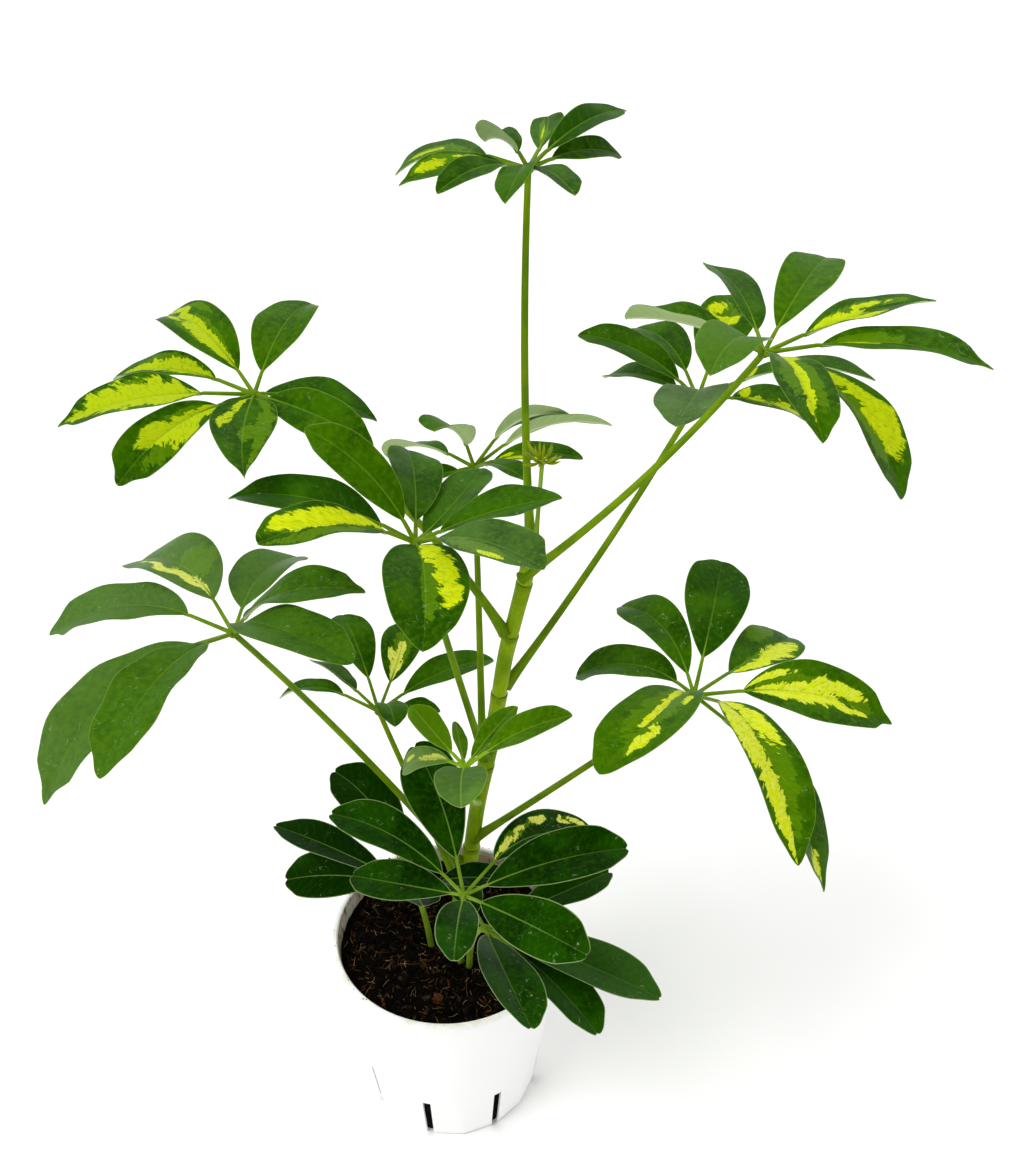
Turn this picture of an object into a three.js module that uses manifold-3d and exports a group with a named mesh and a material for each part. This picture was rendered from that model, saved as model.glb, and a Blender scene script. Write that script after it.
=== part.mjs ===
// A variegated dwarf umbrella plant in a white nursery pot.
// Millimetres, +Z up. The origin is the middle of the pot's underside, +X is the photo's right
// and +Y points away from the viewer.

import * as THREE from 'three';
import { mergeVertices } from 'three/addons/utils/BufferGeometryUtils.js';
import Module from 'manifold-3d';

const wasm = await Module();
wasm.setup();

// Pot
const potHeight = 115;
const potBaseRadius = 46;
const potRimRadius = 60;
const potRimWidth = 1.6;
const potRimHeight = 4;
const potWall = 1.4;
const potFloor = 2;
const potFootBevel = 1.5;
const potRimBevel = 0.6;
const potSides = 40;
const slitCount = 8;
const slitWidth = 4;
const slitHeight = 34;
const slitInset = 5;
const firstSlitAngle = -104;

// Soil
const soilTop = 105;
const soilCrown = 2;
const soilRelief = 1.2;
const soilRings = 4;
const soilSides = 24;

// Fits between neighbours that touch
const seatGap = 0.3;

// Stem and stalks
const trunkSides = 8;
const trunkRadius = 4.2;
const trunkTipRadius = 3.2;
const scarBulge = 0.7;
const scarWidth = 8;
const petioleSides = 6;
const petioleSteps = 6;
const petioleRadius = 1.75;
const petioleHubRadius = 1.25;
const petioleFootRadius = 3.1;
const footTaper = 14;
const hubRadius = 2.5;
const rootDepth = 22;

// Leaf blades
const bladeThickness = 0.8;
const stalkRadius = 0.95;
const bladeFold = 13;
const bladeStations = [0, 0.14, 0.32, 0.52, 0.72, 0.9, 1];
const sharpTip = 0.86;
const bluntEnd = 0.7;
const notchDepth = 1.2;
const ripples = 1.5;

const leafGreen = 0x3f7a1c;
const darkGreen = 0x24520f;
const youngGreen = 0x5c9a26;
const stemGreen = 0x7d9a2c;
const potWhite = 0xf1f1ee;
const soilBrown = 0x2a1a10;

const deg = THREE.MathUtils.degToRad;
const up = new THREE.Vector3(0, 0, 1);

// The trunk leans to the right as it climbs. Each row is x, y, z.
const trunkPath = [
  [3, 5, soilTop - rootDepth],
  [4, 5, 116],
  [11, 5, 156],
  [16, 5, 198],
  [22, 5, 235],
  [26, 5, 262],
  [30, 5, 293],
  [35, 5, 318],
  [39, 5, 338],
  [41, 5, 358],
];

// Heights of the ringed scars where a leaf stalk leaves the trunk.
const scarHeights = [152, 172, 228, 240, 272, 306, 334];

// Fronds. A petiole runs from its foot past a bend point to the hub where the leaflets spread.
// Leaflet rows: turn (from +X towards +Y), rise at the hub, droop along the blade, sweep
// sideways, in degrees; then stalk, length and width in mm; then roll in degrees; then how
// fast the outline closes at the tip and at the base, where less is rounder.
const fronds = [
  {
    name: 'frond_top',
    colour: leafGreen,
    petiole: [[41, 7, 350], [36, 12, 430], [39, 30, 504.2]],
    wave: 0.8,
    leaflets: [
      [167.9, 13.8, 58.1, 1.1, 16, 38.5, 15.6, 6.9, 0.78, 0.8],
      [199, 16, 42, -3, 9.5, 41, 16.7, 5, 0.78, 0.8],
      [230, 21, 46, -7, 13, 36, 14, 8, 0.6, 0.8],
      [266, 28, 51, -14, 5.4, 44, 16.4, -22, 0.7, 0.8],
      [288, 22, 36, 7, 6.6, 38, 14, 7, 0.55, 0.8],
      [35, 9, 39, 9, 10.7, 37, 13, -26, 0.6, 0.8],
      [40, 28, 45, 13, 10.5, 47, 14, -13, 0.78, 0.8],
      [74, 10, 14, 18, 15, 34, 14, 15, 0.5, 0.8],
      [151.1, 53.9, 98.4, -8, 7, 17, 20, -21.5, 0.6, 0.8],
    ],
  },
  {
    name: 'frond_upper_left',
    colour: leafGreen,
    petiole: [[30, 3, 308], [-8, 7, 382], [-69, 15, 419]],
    wave: 1.1,
    leaflets: [
      [131, 31, 59, -4, 12.3, 63, 24.4, 7, 0.62, 0.8],
      [78, 26, 42, -1, 11.2, 56.8, 24.4, 1, 0.62, 0.8],
      [156.5, 10.2, 40.7, 7.1, 17.7, 51.5, 21, 1.2, 0.68, 0.8],
      [194, 9, 37, -8, 20.6, 58, 29.6, 2, 0.78, 0.8],
      [224.9, 5.3, 41.6, 7.7, 17.2, 52, 20.9, 25.8, 0.5, 0.76],
      [267, 2, 11, 17, 4, 54, 26.2, 3, 1.05, 0.6],
      [356, 9, 48, 5, 4.1, 47, 22.7, 1, 0.78, 0.8],
      [321, 8, 23, 8, 8, 54, 19.5, -26, 0.78, 0.8],
    ],
  },
  {
    name: 'frond_middle',
    colour: leafGreen,
    petiole: [[20, 1, 236], [10, -18, 300], [-3, -45, 389]],
    wave: 1.1,
    leaflets: [
      [156.4, 62.1, 52.9, -4.8, 9.8, 51.5, 18, 29.7, 0.65, 0.8],
      [92, 14, 30, 9, 11, 55, 23.4, -22, 0.5, 0.8],
      [59.2, 4.7, 17.6, 20.8, 5.3, 59.1, 20.9, 10.2, 0.65, 0.8],
      [18, 18, 17, -9, 10, 48, 25.6, 9, 0.6, 0.8],
      [317, 32, 38, 0, 13.6, 55, 25, -1, 0.5, 0.8],
      [283, 19, 39, -16, 4, 63, 31.7, 7, 0.6, 0.6],
      [205.3, 35.9, 45.2, 9.1, 13.5, 51.6, 24.6, 1.5, 0.49, 0.8],
      [169.7, 27.7, 53.2, -9.6, 14.3, 64, 25.2, 0, 0.78, 0.8],
    ],
  },
  {
    name: 'frond_back',
    colour: leafGreen,
    petiole: [[19, 10, 226], [18, 32, 300], [16, 60, 358]],
    wave: 0.8,
    leaflets: [
      [148.5, 11.9, 64.9, -3.3, 14, 40, 21, -24.9, 0.69, 0.8],
      [196.8, 74.7, 74.9, 51.3, 12.7, 26.6, 26, -10.5, 0.5, 0.8],
      [-1, 57, 77, 3, 17.6, 38, 13, 56, 0.78, 0.8],
      [2, 40, 54, -9, 18, 50.3, 13.5, 50, 0.78, 0.8],
      [17, 11, 34, -8, 9.1, 43, 15.2, -5, 0.6, 0.8],
      [296, 34, 37, 10, 15.3, 36.4, 14.9, 5, 0.78, 0.8],
      [165, -20, 10, 0, 8, 24, 12, 10, 0.78, 0.8],
    ],
  },
  {
    name: 'frond_upper_right',
    colour: leafGreen,
    petiole: [[37, 4, 337], [87, -4, 387], [124.5, -15, 452]],
    wave: 1.2,
    leaflets: [
      [57.9, 27.1, 42.6, 9, 12, 59.7, 22.3, -4.8, 0.53, 0.8],
      [98, 22, 34, 15, 11, 54, 19.6, -19, 0.78, 0.8],
      [146.3, 10.5, 33, -6.2, 12.7, 47.6, 20, -15, 0.63, 0.8],
      [233.2, 42, 72.3, 10.2, 11.4, 41.5, 24.9, -0.1, 0.7, 0.65],
      [13, 21, 25, 2, 16.2, 52, 22.5, 11, 0.78, 0.8],
      [346, 16, 36, -1, 20.5, 61, 23.7, 2, 0.78, 0.8],
      [321, 0, 64, -18, 10.8, 67, 27.4, 14, 0.6, 0.8],
      [275, 23, 57, 5, 20, 54, 22, 11, 0.7, 0.8],
    ],
  },
  {
    name: 'frond_right_inner',
    colour: leafGreen,
    petiole: [[30, 6, 275], [76, 28, 336], [112, 50, 398]],
    wave: 0.9,
    leaflets: [
      [145, 32, 42, 10, 11.2, 51, 20, 7, 0.6, 0.8],
      [104, 19, 39, 18, 17, 47.5, 21.4, 2, 0.55, 0.8],
      [66.1, 31.1, 26.4, -1.6, 16.7, 46.9, 28.9, 4.5, 0.5, 0.71],
      [263, 39, 57, -22, 16.2, 49.5, 29.6, -9, 0.5, 0.8],
      [133, 4, 41, -9, 12, 48, 18, 4, 0.6, 0.8],
      [351, 31, 47, -9, 18.7, 57.7, 23.8, 13, 0.78, 0.8],
      [12, -4, 42, 1, 15.4, 48, 21, -8, 0.78, 0.8],
    ],
  },
  {
    name: 'frond_left',
    colour: leafGreen,
    petiole: [[7, 4, 161], [-40, -6, 256], [-80, -30, 334]],
    wave: 1.4,
    leaflets: [
      [148, -1, 33, 41, 24.8, 73, 28.8, 3, 0.6, 0.8],
      [123, 16, 53, 24, 19.6, 63, 37, -3, 0.55, 0.8],
      [87, 2, 32, -21, 16.4, 63, 29.3, 5, 0.55, 0.8],
      [336, 57, 67, 17, 11.4, 61.6, 22.5, -1, 0.6, 0.8],
      [300, 47, 63, 35, 12, 76, 27.5, 3, 0.5, 0.8],
      [223.5, 13, 71, 11, 18, 88, 28, 4, 0.65, 0.8],
      [248.6, 26, 63, 0, 19.7, 77.6, 28, -8, 0.6, 0.8],
    ],
  },
  {
    name: 'frond_left_inner',
    colour: leafGreen,
    petiole: [[5, 8, 142], [-18, 26, 195], [-32, 35, 234.1]],
    wave: 0.8,
    leaflets: [
      [155, 11, 56, 18, 20, 38.5, 16.7, -15, 0.6, 0.8],
      [133, 8, 30, -2, 18, 40, 18, -34, 0.78, 0.8],
      [111, 27, 38, 0, 18.5, 47, 21, -7, 0.5, 0.8],
      [74, 17, 20, 18, 17.5, 43, 21.5, -2, 0.55, 0.8],
      [25, 27, 44, 1, 14.7, 50, 22, 5, 0.62, 0.8],
      [291, 50, 56, -11, 19, 33, 15.6, 10, 0.6, 0.8],
      [18, 1, 43, -7, 10.5, 22, 9, -10, 0.6, 0.8],
    ],
  },
  {
    name: 'frond_right',
    colour: leafGreen,
    petiole: [[14, 4, 178], [62, -9, 234], [109.5, -30, 301]],
    wave: 1.2,
    leaflets: [
      [122, -6, 38, 38, 11.8, 61, 24, 7, 0.5, 0.8],
      [100, 15, 48, 23, 11, 69, 22, 12, 0.5, 0.8],
      [74, 15, 16, 4, 20, 63, 30, -10, 0.5, 0.8],
      [46, -6, 20, 12, 25, 60, 27, -8, 0.5, 0.8],
      [362, 5, 39, -8, 20.5, 68.5, 32, -13, 0.76, 0.8],
      [290, 33, 89, -8, 24.6, 86, 26, 16, 0.7, 0.8],
      [312, -7, 58, -13, 17, 83, 33, 32, 0.78, 0.8],
      [250, 43, 63, -25, 16.5, 81, 29.6, -8, 0.5, 0.8],
    ],
  },
  {
    name: 'frond_young',
    colour: youngGreen,
    petiole: [[16, 3, 205], [13, -24, 226], [13, -40, 269]],
    wave: 0.5,
    leaflets: [
      [137, 23, 4, -7, 8.8, 28, 15.3, -9, 0.5, 0.8],
      [147, -6, 60, 8, 8, 33, 12, 30, 0.5, 0.8],
      [101, 0, 9, -4, 4, 28, 8, -35, 0.6, 0.8],
      [51, 26, 18, -1, 4.4, 32, 14, 19, 0.5, 0.8],
      [10, 39, 26, -9, 11.8, 41, 19.5, 3, 0.62, 0.8],
      [266, 39, 45, 8, 6.9, 34, 22.5, -3, 0.45, 0.5],
    ],
  },
  {
    name: 'frond_low_front',
    colour: darkGreen,
    petiole: [[6, -9, soilTop - rootDepth], [8, -22, 150], [11, -45, 193]],
    notched: true,
    wave: 0.7,
    leaflets: [
      [105, 34, 26, 15, 17, 62, 29.3, 28, 0.5, 0.8],
      [149, 35, 40, 15, 14, 61, 26, -2, 0.5, 0.8],
      [154, -15, 1, 0, 6.8, 57, 24, 8, 0.5, 0.8],
      [266, 31, 18, 4, 7.2, 54, 19.5, 3, 0.5, 0.65],
      [11, 24, 25, -4, 11.2, 68, 30, -6, 0.5, 0.8],
      [316, 21, 19, 7, 11.8, 62.5, 27.3, -18, 0.5, 0.8],
      [52.5, 7.5, 47.8, -52, 22.6, 65.8, 31, 10, 0.53, 0.8],
    ],
  },
  {
    name: 'frond_low_right',
    colour: darkGreen,
    petiole: [[11, -12, soilTop - rootDepth], [10, -22, 140], [20, -40, 164]],
    notched: true,
    wave: 0.7,
    leaflets: [
      [283, 28, 30, 9, 8.4, 68, 29, 24, 0.5, 0.8],
      [315, 7, 20, -10, 18, 60, 31, 25, 0.55, 0.8],
      [334, 6, 15, 0, 10.7, 79, 32.5, 13, 0.6, 0.8],
      [27, 5, 8, 3, 18, 52, 25, 7, 0.5, 0.8],
      [112, -6, 20, 0, 11, 32, 18, -10, 0.6, 0.8],
    ],
  },
  {
    name: 'frond_low_left',
    colour: darkGreen,
    petiole: [[-8, -2, soilTop - rootDepth], [-10, -4, 135], [-16, -10, 158]],
    notched: true,
    wave: 0.7,
    leaflets: [
      [119, 39, 38, 26, 17.4, 58, 28.4, 8, 0.5, 0.8],
      [161, 20, 20, -4, 16, 62, 25, -12, 0.6, 0.8],
      [167, 4, 27, 7, 14, 54, 25.4, 26, 0.5, 0.8],
      [285, 33, 6, 2, 8.8, 21.4, 20.3, 13, 0.5, 0.8],
      [350, 30, 40, 0, 14, 40, 20, 10, 0.6, 0.8],
    ],
  },
];

// The unopened shoot: stalk from the trunk's tip, then a spray of tiny leaflets.
const shootFoot = [43, 4, 358.4];
const shootHub = [45, 1, 396];
const shootStalkRadius = 0.9;
const shootKnobRadius = 2;
const shootSpikeRadius = 1.1;
const shootSpikes = [
  [0, 12, 9],
  [48, 40, 9],
  [95, 15, 7],
  [140, 35, 10],
  [185, 8, 10],
  [230, 30, 8],
  [275, 20, 6],
  [320, 35, 8],
];

function vec([x, y, z]) {
  return new THREE.Vector3(x, y, z);
}

function material(colour, roughness) {
  return new THREE.MeshStandardMaterial({ color: colour, roughness, metalness: 0 });
}

// Solids in and out of the boolean library.

function toSolid(geometry) {
  const plain = geometry.clone();
  plain.deleteAttribute('normal');
  plain.deleteAttribute('uv');
  const merged = mergeVertices(plain, 1e-4);
  const mesh = new wasm.Mesh({
    numProp: 3,
    vertProperties: new Float32Array(merged.attributes.position.array),
    triVerts: new Uint32Array(merged.index.array),
  });
  return new wasm.Manifold(mesh);
}

function toGeometry(solid) {
  const mesh = solid.getMesh();
  const geometry = new THREE.BufferGeometry();
  geometry.setAttribute('position', new THREE.BufferAttribute(mesh.vertProperties, 3));
  geometry.setIndex(new THREE.BufferAttribute(mesh.triVerts, 1));
  geometry.computeVertexNormals();
  return geometry;
}

function joinAll(solids) {
  return solids.reduce((sum, solid) => sum.add(solid));
}

// The wide foot of a leaf stalk would reach through to the trunk's far side without this.
function largestOf(solid) {
  return solid.decompose().reduce((best, part) => (part.volume() > best.volume() ? part : best));
}

// A closed body through a row of rings, each clockwise as seen from the end it runs towards.
// flipped names the sides whose quads are split along the other diagonal, and caps the
// triangles of an end.
function loft(rings, caps, flipped = []) {
  const count = rings[0].length;
  const index = [];
  for (let i = 0; i < rings.length - 1; i += 1) {
    for (let k = 0; k < count; k += 1) {
      const a = i * count + k;
      const b = i * count + ((k + 1) % count);
      const c = b + count;
      const d = a + count;
      if (flipped.includes(k)) {
        index.push(a, d, b, b, d, c);
      } else {
        index.push(a, c, b, a, d, c);
      }
    }
  }
  const last = (rings.length - 1) * count;
  for (const [p, q, r] of caps) {
    index.push(p, q, r);
    index.push(last + p, last + r, last + q);
  }
  const geometry = new THREE.BufferGeometry();
  const points = rings.flat().flatMap((point) => point.toArray());
  geometry.setAttribute('position', new THREE.Float32BufferAttribute(points, 3));
  geometry.setIndex(index);
  return geometry;
}

function fanCaps(count) {
  const caps = [];
  for (let k = 1; k < count - 1; k += 1) {
    caps.push([0, k, k + 1]);
  }
  return caps;
}

// A side vector and an upper vector square to a heading.
function frameFor(heading) {
  const hint = Math.abs(heading.z) > 0.95 ? new THREE.Vector3(0, -1, 0) : up;
  const side = new THREE.Vector3().crossVectors(heading, hint).normalize();
  const top = new THREE.Vector3().crossVectors(side, heading).normalize();
  return { side, top };
}

function roundRing(centre, { side, top }, radius, sides, start = 0) {
  const ring = [];
  for (let k = 0; k < sides; k += 1) {
    const angle = start + (2 * Math.PI * k) / sides;
    const point = centre.clone();
    point.addScaledVector(side, radius * Math.cos(angle));
    point.addScaledVector(top, radius * Math.sin(angle));
    ring.push(point);
  }
  return ring;
}

// A round stem along a curve, its radius given at each fraction of the length. The side
// vector is carried from ring to ring, so the stem doesn't twist.
function stem(curve, steps, sides, radiusAt) {
  const rings = [];
  let { side } = frameFor(curve.getTangentAt(0));
  for (let i = 0; i <= steps; i += 1) {
    const t = i / steps;
    const heading = curve.getTangentAt(t);
    const top = new THREE.Vector3().crossVectors(side, heading).normalize();
    side = new THREE.Vector3().crossVectors(heading, top).normalize();
    rings.push(roundRing(curve.getPointAt(t), { side, top }, radiusAt(t), sides));
  }
  return loft(rings, fanCaps(sides));
}

function headingAt(turn, rise) {
  const a = deg(turn);
  const e = deg(rise);
  return new THREE.Vector3(Math.cos(e) * Math.cos(a), Math.cos(e) * Math.sin(a), Math.sin(e));
}

// Widest past the middle of the blade, and narrowing to a round or a pointed tip, which is cut
// off short so that the last ring keeps a width.
function bladeHalfWidth(v, width, tip, base) {
  const peak = base / (base + tip);
  const full = peak ** base * (1 - peak) ** tip;
  const outline = (0.5 * width * v ** base * (1 - v) ** tip) / full;
  const end = 0.5 * width * Math.max(0.06, bluntEnd * (sharpTip - tip));
  return Math.max(outline, v < 0.5 ? stalkRadius : end);
}

// One leaflet: a round stalk from the hub that opens into a folded, drooping blade. Its
// section has six corners, three on each face, so both faces split into like triangles.
function leaflet(hub, row, order, wave, notched) {
  const [turn, rise, droop, sweep, stalk, length, width, roll, tip, base] = row;
  const rings = [];
  const position = hub.clone();
  const out = headingAt(turn, rise);
  rings.push(roundRing(position, frameFor(out), stalkRadius, 6, deg(30)));
  position.addScaledVector(out, stalk);
  let reached = 0;
  for (const v of bladeStations) {
    const middle = (reached + v) / 2;
    const step = headingAt(turn + sweep * middle, rise - droop * middle);
    position.addScaledVector(step, (v - reached) * length);
    reached = v;
    const heading = headingAt(turn + sweep * v, rise - droop * v);
    const half = bladeHalfWidth(v, width, tip, base);
    rings.push(bladeRing(position, heading, v, { half, width, roll, order, wave, notched }));
  }
  const caps = [[0, 1, 4], [0, 4, 5], [1, 2, 3], [1, 3, 4]];
  return loft(rings, caps, [1, 4]);
}

function bladeRing(centre, heading, v, shape) {
  const { half, width, roll, order, wave, notched } = shape;
  const { side, top } = frameFor(heading);
  const across = side.clone().multiplyScalar(Math.cos(deg(roll)));
  across.addScaledVector(top, Math.sin(deg(roll)));
  const face = new THREE.Vector3().crossVectors(across, heading).normalize();
  const reach = half / (0.5 * width);
  const ripple = (phase) => wave * reach * Math.sin(2 * Math.PI * ripples * v + phase);
  const rib = centre.clone();
  if (notched && v === 1) {
    rib.addScaledVector(heading, -notchDepth);
  }
  const edge = (sign, phase) => centre.clone()
    .addScaledVector(across, sign * half * Math.cos(deg(bladeFold)))
    .addScaledVector(face, half * Math.sin(deg(bladeFold)) + ripple(phase));
  const right = edge(1, order * 1.7);
  const left = edge(-1, order * 2.3 + 2);
  const lower = (point) => point.clone().addScaledVector(face, -bladeThickness);
  return [right, rib, left, lower(left), lower(rib), lower(right)];
}

// The trunk, with a slight ring at each leaf scar. grow swells it, to make room round it.
function trunkSolid(grow) {
  const curve = new THREE.CatmullRomCurve3(trunkPath.map(vec));
  const rings = trunkStations().map(({ t, bulge }) => {
    const centre = curve.getPointAt(t);
    centre.z += t === 1 ? grow : 0;
    centre.z -= t === 0 ? grow : 0;
    const radius = THREE.MathUtils.lerp(trunkRadius, trunkTipRadius, t) + bulge + grow;
    return roundRing(centre, frameFor(curve.getTangentAt(t)), radius, trunkSides);
  });
  return toSolid(loft(rings, fanCaps(trunkSides)));
}

function trunkStations() {
  const low = trunkPath[0][2];
  const high = trunkPath[trunkPath.length - 1][2];
  const stations = [{ t: 0, bulge: 0 }];
  for (const height of scarHeights) {
    const t = (height - low) / (high - low);
    const half = scarWidth / 2 / (high - low);
    stations.push({ t: t - half, bulge: 0 });
    stations.push({ t, bulge: scarBulge });
    stations.push({ t: t + half, bulge: 0 });
  }
  stations.push({ t: 1, bulge: 0 });
  return stations;
}

function petioleRadiusAt(t) {
  const flare = (petioleFootRadius - petioleRadius) * Math.exp(-t * footTaper);
  return THREE.MathUtils.lerp(petioleRadius, petioleHubRadius, t) + flare;
}

function petioleSolid(points, grow) {
  const [foot, bend, hub] = points.map(vec);
  foot.z -= grow;
  const curve = new THREE.QuadraticBezierCurve3(foot, bend, hub);
  return toSolid(stem(curve, petioleSteps, petioleSides, (t) => petioleRadiusAt(t) + grow));
}

function frondSolid(frond, trunkRoom) {
  const { petiole, leaflets, wave, notched = false } = frond;
  const hub = vec(petiole[2]);
  const knob = new THREE.SphereGeometry(hubRadius, 6, 4);
  knob.translate(hub.x, hub.y, hub.z);
  const solids = [petioleSolid(petiole, 0), toSolid(knob)];
  leaflets.forEach((row, order) => {
    solids.push(toSolid(leaflet(hub, row, order, wave, notched)));
  });
  return largestOf(joinAll(solids).subtract(trunkRoom));
}

// The pot: one turned wall with a small lip and upright drain slits round its foot.
function potSolid() {
  const wallTop = potHeight - potRimHeight;
  const lipRadius = potRimRadius - potRimWidth;
  const profile = [
    [0, 0],
    [potBaseRadius - potFootBevel, 0],
    [potBaseRadius, potFootBevel],
    [lipRadius, wallTop],
    [potRimRadius, wallTop],
    [potRimRadius, potHeight - potRimBevel],
    [potRimRadius - potRimBevel, potHeight],
    [lipRadius - potWall, potHeight],
    [potBaseRadius - potWall, potFloor],
    [0, potFloor],
  ].map(([r, z]) => new THREE.Vector2(r, z));
  const turned = new THREE.LatheGeometry(profile, potSides);
  turned.rotateX(Math.PI / 2);
  const walls = toSolid(turned);
  return slitCutters().reduce((body, cutter) => body.subtract(cutter), walls);
}

function slitCutters() {
  const cutters = [];
  for (let k = 0; k < slitCount; k += 1) {
    const angle = deg(firstSlitAngle + (360 * k) / slitCount);
    const box = new THREE.BoxGeometry(4 * slitInset, slitWidth, 2 * slitHeight);
    box.translate(potBaseRadius + slitInset, 0, 0);
    box.rotateZ(angle);
    cutters.push(toSolid(box));
  }
  return cutters;
}

// The soil plug fills the pot up to below the lip. Its top is lumpy and crowned at the stem.
function soilSolid(stems) {
  const wallTop = potHeight - potRimHeight;
  const lipRadius = potRimRadius - potRimWidth;
  const insideAt = (z) => THREE.MathUtils.lerp(potBaseRadius, lipRadius, z / wallTop)
    - potWall - 2 * seatGap;
  const bottom = potFloor + seatGap;
  const profile = [[0, bottom], [insideAt(bottom), bottom]];
  for (let ring = 0; ring < soilRings; ring += 1) {
    const share = 1 - ring / soilRings;
    profile.push([insideAt(soilTop) * share, soilTop + soilCrown * (1 - share)]);
  }
  profile.push([0, soilTop + soilCrown]);
  const points = profile.map(([r, z]) => new THREE.Vector2(r, z));
  const plug = new THREE.LatheGeometry(points, soilSides);
  plug.rotateX(Math.PI / 2);
  const place = plug.attributes.position;
  for (let i = 0; i < place.count; i += 1) {
    const x = place.getX(i);
    const y = place.getY(i);
    const inner = Math.hypot(x, y) < insideAt(soilTop) * 0.9;
    if (place.getZ(i) > soilTop && inner) {
      const lumps = Math.sin(x * 0.31 + 1) * Math.cos(y * 0.27) + Math.sin((x - y) * 0.17);
      place.setZ(i, place.getZ(i) + 0.5 * soilRelief * lumps);
    }
  }
  return stems.reduce((body, root) => body.subtract(root), toSolid(plug));
}

function shootSolid() {
  const foot = vec(shootFoot);
  const hub = vec(shootHub);
  const curve = new THREE.LineCurve3(foot, hub);
  const knob = new THREE.SphereGeometry(shootKnobRadius, 6, 4);
  knob.translate(hub.x, hub.y, hub.z);
  const solids = [toSolid(stem(curve, 2, 6, () => shootStalkRadius)), toSolid(knob)];
  for (const [turn, rise, length] of shootSpikes) {
    const spike = new THREE.ConeGeometry(shootSpikeRadius, length, 4);
    spike.translate(0, length / 2, 0);
    const pose = new THREE.Quaternion().setFromUnitVectors(
      new THREE.Vector3(0, 1, 0),
      headingAt(turn, rise),
    );
    spike.applyQuaternion(pose);
    spike.translate(hub.x, hub.y, hub.z);
    solids.push(toSolid(spike));
  }
  return joinAll(solids);
}

function addPiece(parent, name, solid, colour, roughness) {
  const mesh = new THREE.Mesh(toGeometry(solid), material(colour, roughness));
  mesh.name = name;
  parent.add(mesh);
}

const plant = new THREE.Group();
const holder = new THREE.Group();
const growth = new THREE.Group();
plant.add(holder, growth);

const trunkRoom = trunkSolid(seatGap);
const basal = fronds.filter((frond) => frond.petiole[0][2] < soilTop);
const stemRooms = [trunkRoom, ...basal.map((frond) => petioleSolid(frond.petiole, seatGap))];

addPiece(holder, 'pot', potSolid(), potWhite, 0.35);
addPiece(holder, 'soil', soilSolid(stemRooms), soilBrown, 0.95);
addPiece(growth, 'trunk', trunkSolid(0), stemGreen, 0.5);
for (const frond of fronds) {
  addPiece(growth, frond.name, frondSolid(frond, trunkRoom), frond.colour, 0.4);
}
addPiece(growth, 'shoot_tip', shootSolid(), youngGreen, 0.5);

export default plant;
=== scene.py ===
# Potted umbrella plant: fine leaves, stems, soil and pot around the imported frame.
# Lengths here are millimetres, turned to metres as each mesh is made. +X is right, +Y away.
import math

import bmesh
import bpy
import numpy as np
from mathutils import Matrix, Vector, noise


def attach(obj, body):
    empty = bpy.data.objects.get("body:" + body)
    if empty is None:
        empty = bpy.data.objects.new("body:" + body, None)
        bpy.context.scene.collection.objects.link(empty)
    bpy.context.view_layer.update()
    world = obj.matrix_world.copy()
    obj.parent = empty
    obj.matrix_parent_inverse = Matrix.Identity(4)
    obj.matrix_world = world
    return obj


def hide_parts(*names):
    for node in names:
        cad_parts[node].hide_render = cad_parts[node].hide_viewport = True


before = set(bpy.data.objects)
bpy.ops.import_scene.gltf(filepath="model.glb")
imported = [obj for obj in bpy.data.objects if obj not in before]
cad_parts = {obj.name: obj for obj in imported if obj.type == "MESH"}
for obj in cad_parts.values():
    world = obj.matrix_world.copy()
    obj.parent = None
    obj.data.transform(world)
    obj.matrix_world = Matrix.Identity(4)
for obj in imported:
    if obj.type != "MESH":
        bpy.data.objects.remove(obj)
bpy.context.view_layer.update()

mm = 0.001
scene = bpy.context.scene

# Camera, light and floor

view = {
    "place": (0.033, -0.460, 0.674),       # metres
    "pitchDown": 36,         # degrees below level
    "lens": 42.0,            # mm, on a sensor 36 mm wide
    "sensor": 36,
    "sky": 0.6,
    # broad soft lights from far off: where from, strength, width in degrees
    "key": ((-0.7, -0.45, 1.3), 1.8, 34),
    "back": ((0.35, 0.9, 1.0), 0.85, 60),
    "floorReach": 9.0,       # metres from the pot
    "cardGrain": 16.7,       # mm, far coarser than real paper so that it shows
    "card": ("#FAFAF9", "#FDFDFC"),
}


def srgb(code):
    parts = [int(code[i:i + 2], 16) / 255 for i in (1, 3, 5)]
    linear = [p / 12.92 if p <= 0.04045 else ((p + 0.055) / 1.055) ** 2.4 for p in parts]
    return (*linear, 1.0)


# Inputs are given by number or name. A socket is linked and anything else is set.
def addNode(tree, kind, inputs=(), output=0, **settings):
    node = tree.nodes.new("ShaderNode" + kind)
    for key, value in settings.items():
        setattr(node, key, value)
    for key, value in inputs.items() if isinstance(inputs, dict) else enumerate(inputs):
        if isinstance(value, bpy.types.NodeSocket):
            tree.links.new(value, node.inputs[key])
        else:
            node.inputs[key].default_value = value
    return node.outputs[output] if node.outputs else node


# Settings that most nodes share. A blend of colours takes its share at 0 and the colours at 6, 7.
soft = {"interpolation_type": "SMOOTHSTEP"}
blend = {"output": 2, "data_type": "RGBA"}


def startMaterial(name):
    material = bpy.data.materials.new(name)
    material.use_nodes = True
    tree = material.node_tree
    tree.nodes.clear()
    return material, tree


def finishMaterial(tree, inputs):
    shader = addNode(tree, "BsdfPrincipled", inputs)
    addNode(tree, "OutputMaterial", [shader])


def makeCamera():
    data = bpy.data.cameras.new("camera")
    data.lens = view["lens"]
    data.sensor_width = view["sensor"]
    camera = bpy.data.objects.new("camera", data)
    camera.location = view["place"]
    camera.rotation_euler = (math.radians(90 - view["pitchDown"]), 0, 0)
    scene.collection.objects.link(camera)
    scene.camera = camera


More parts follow.
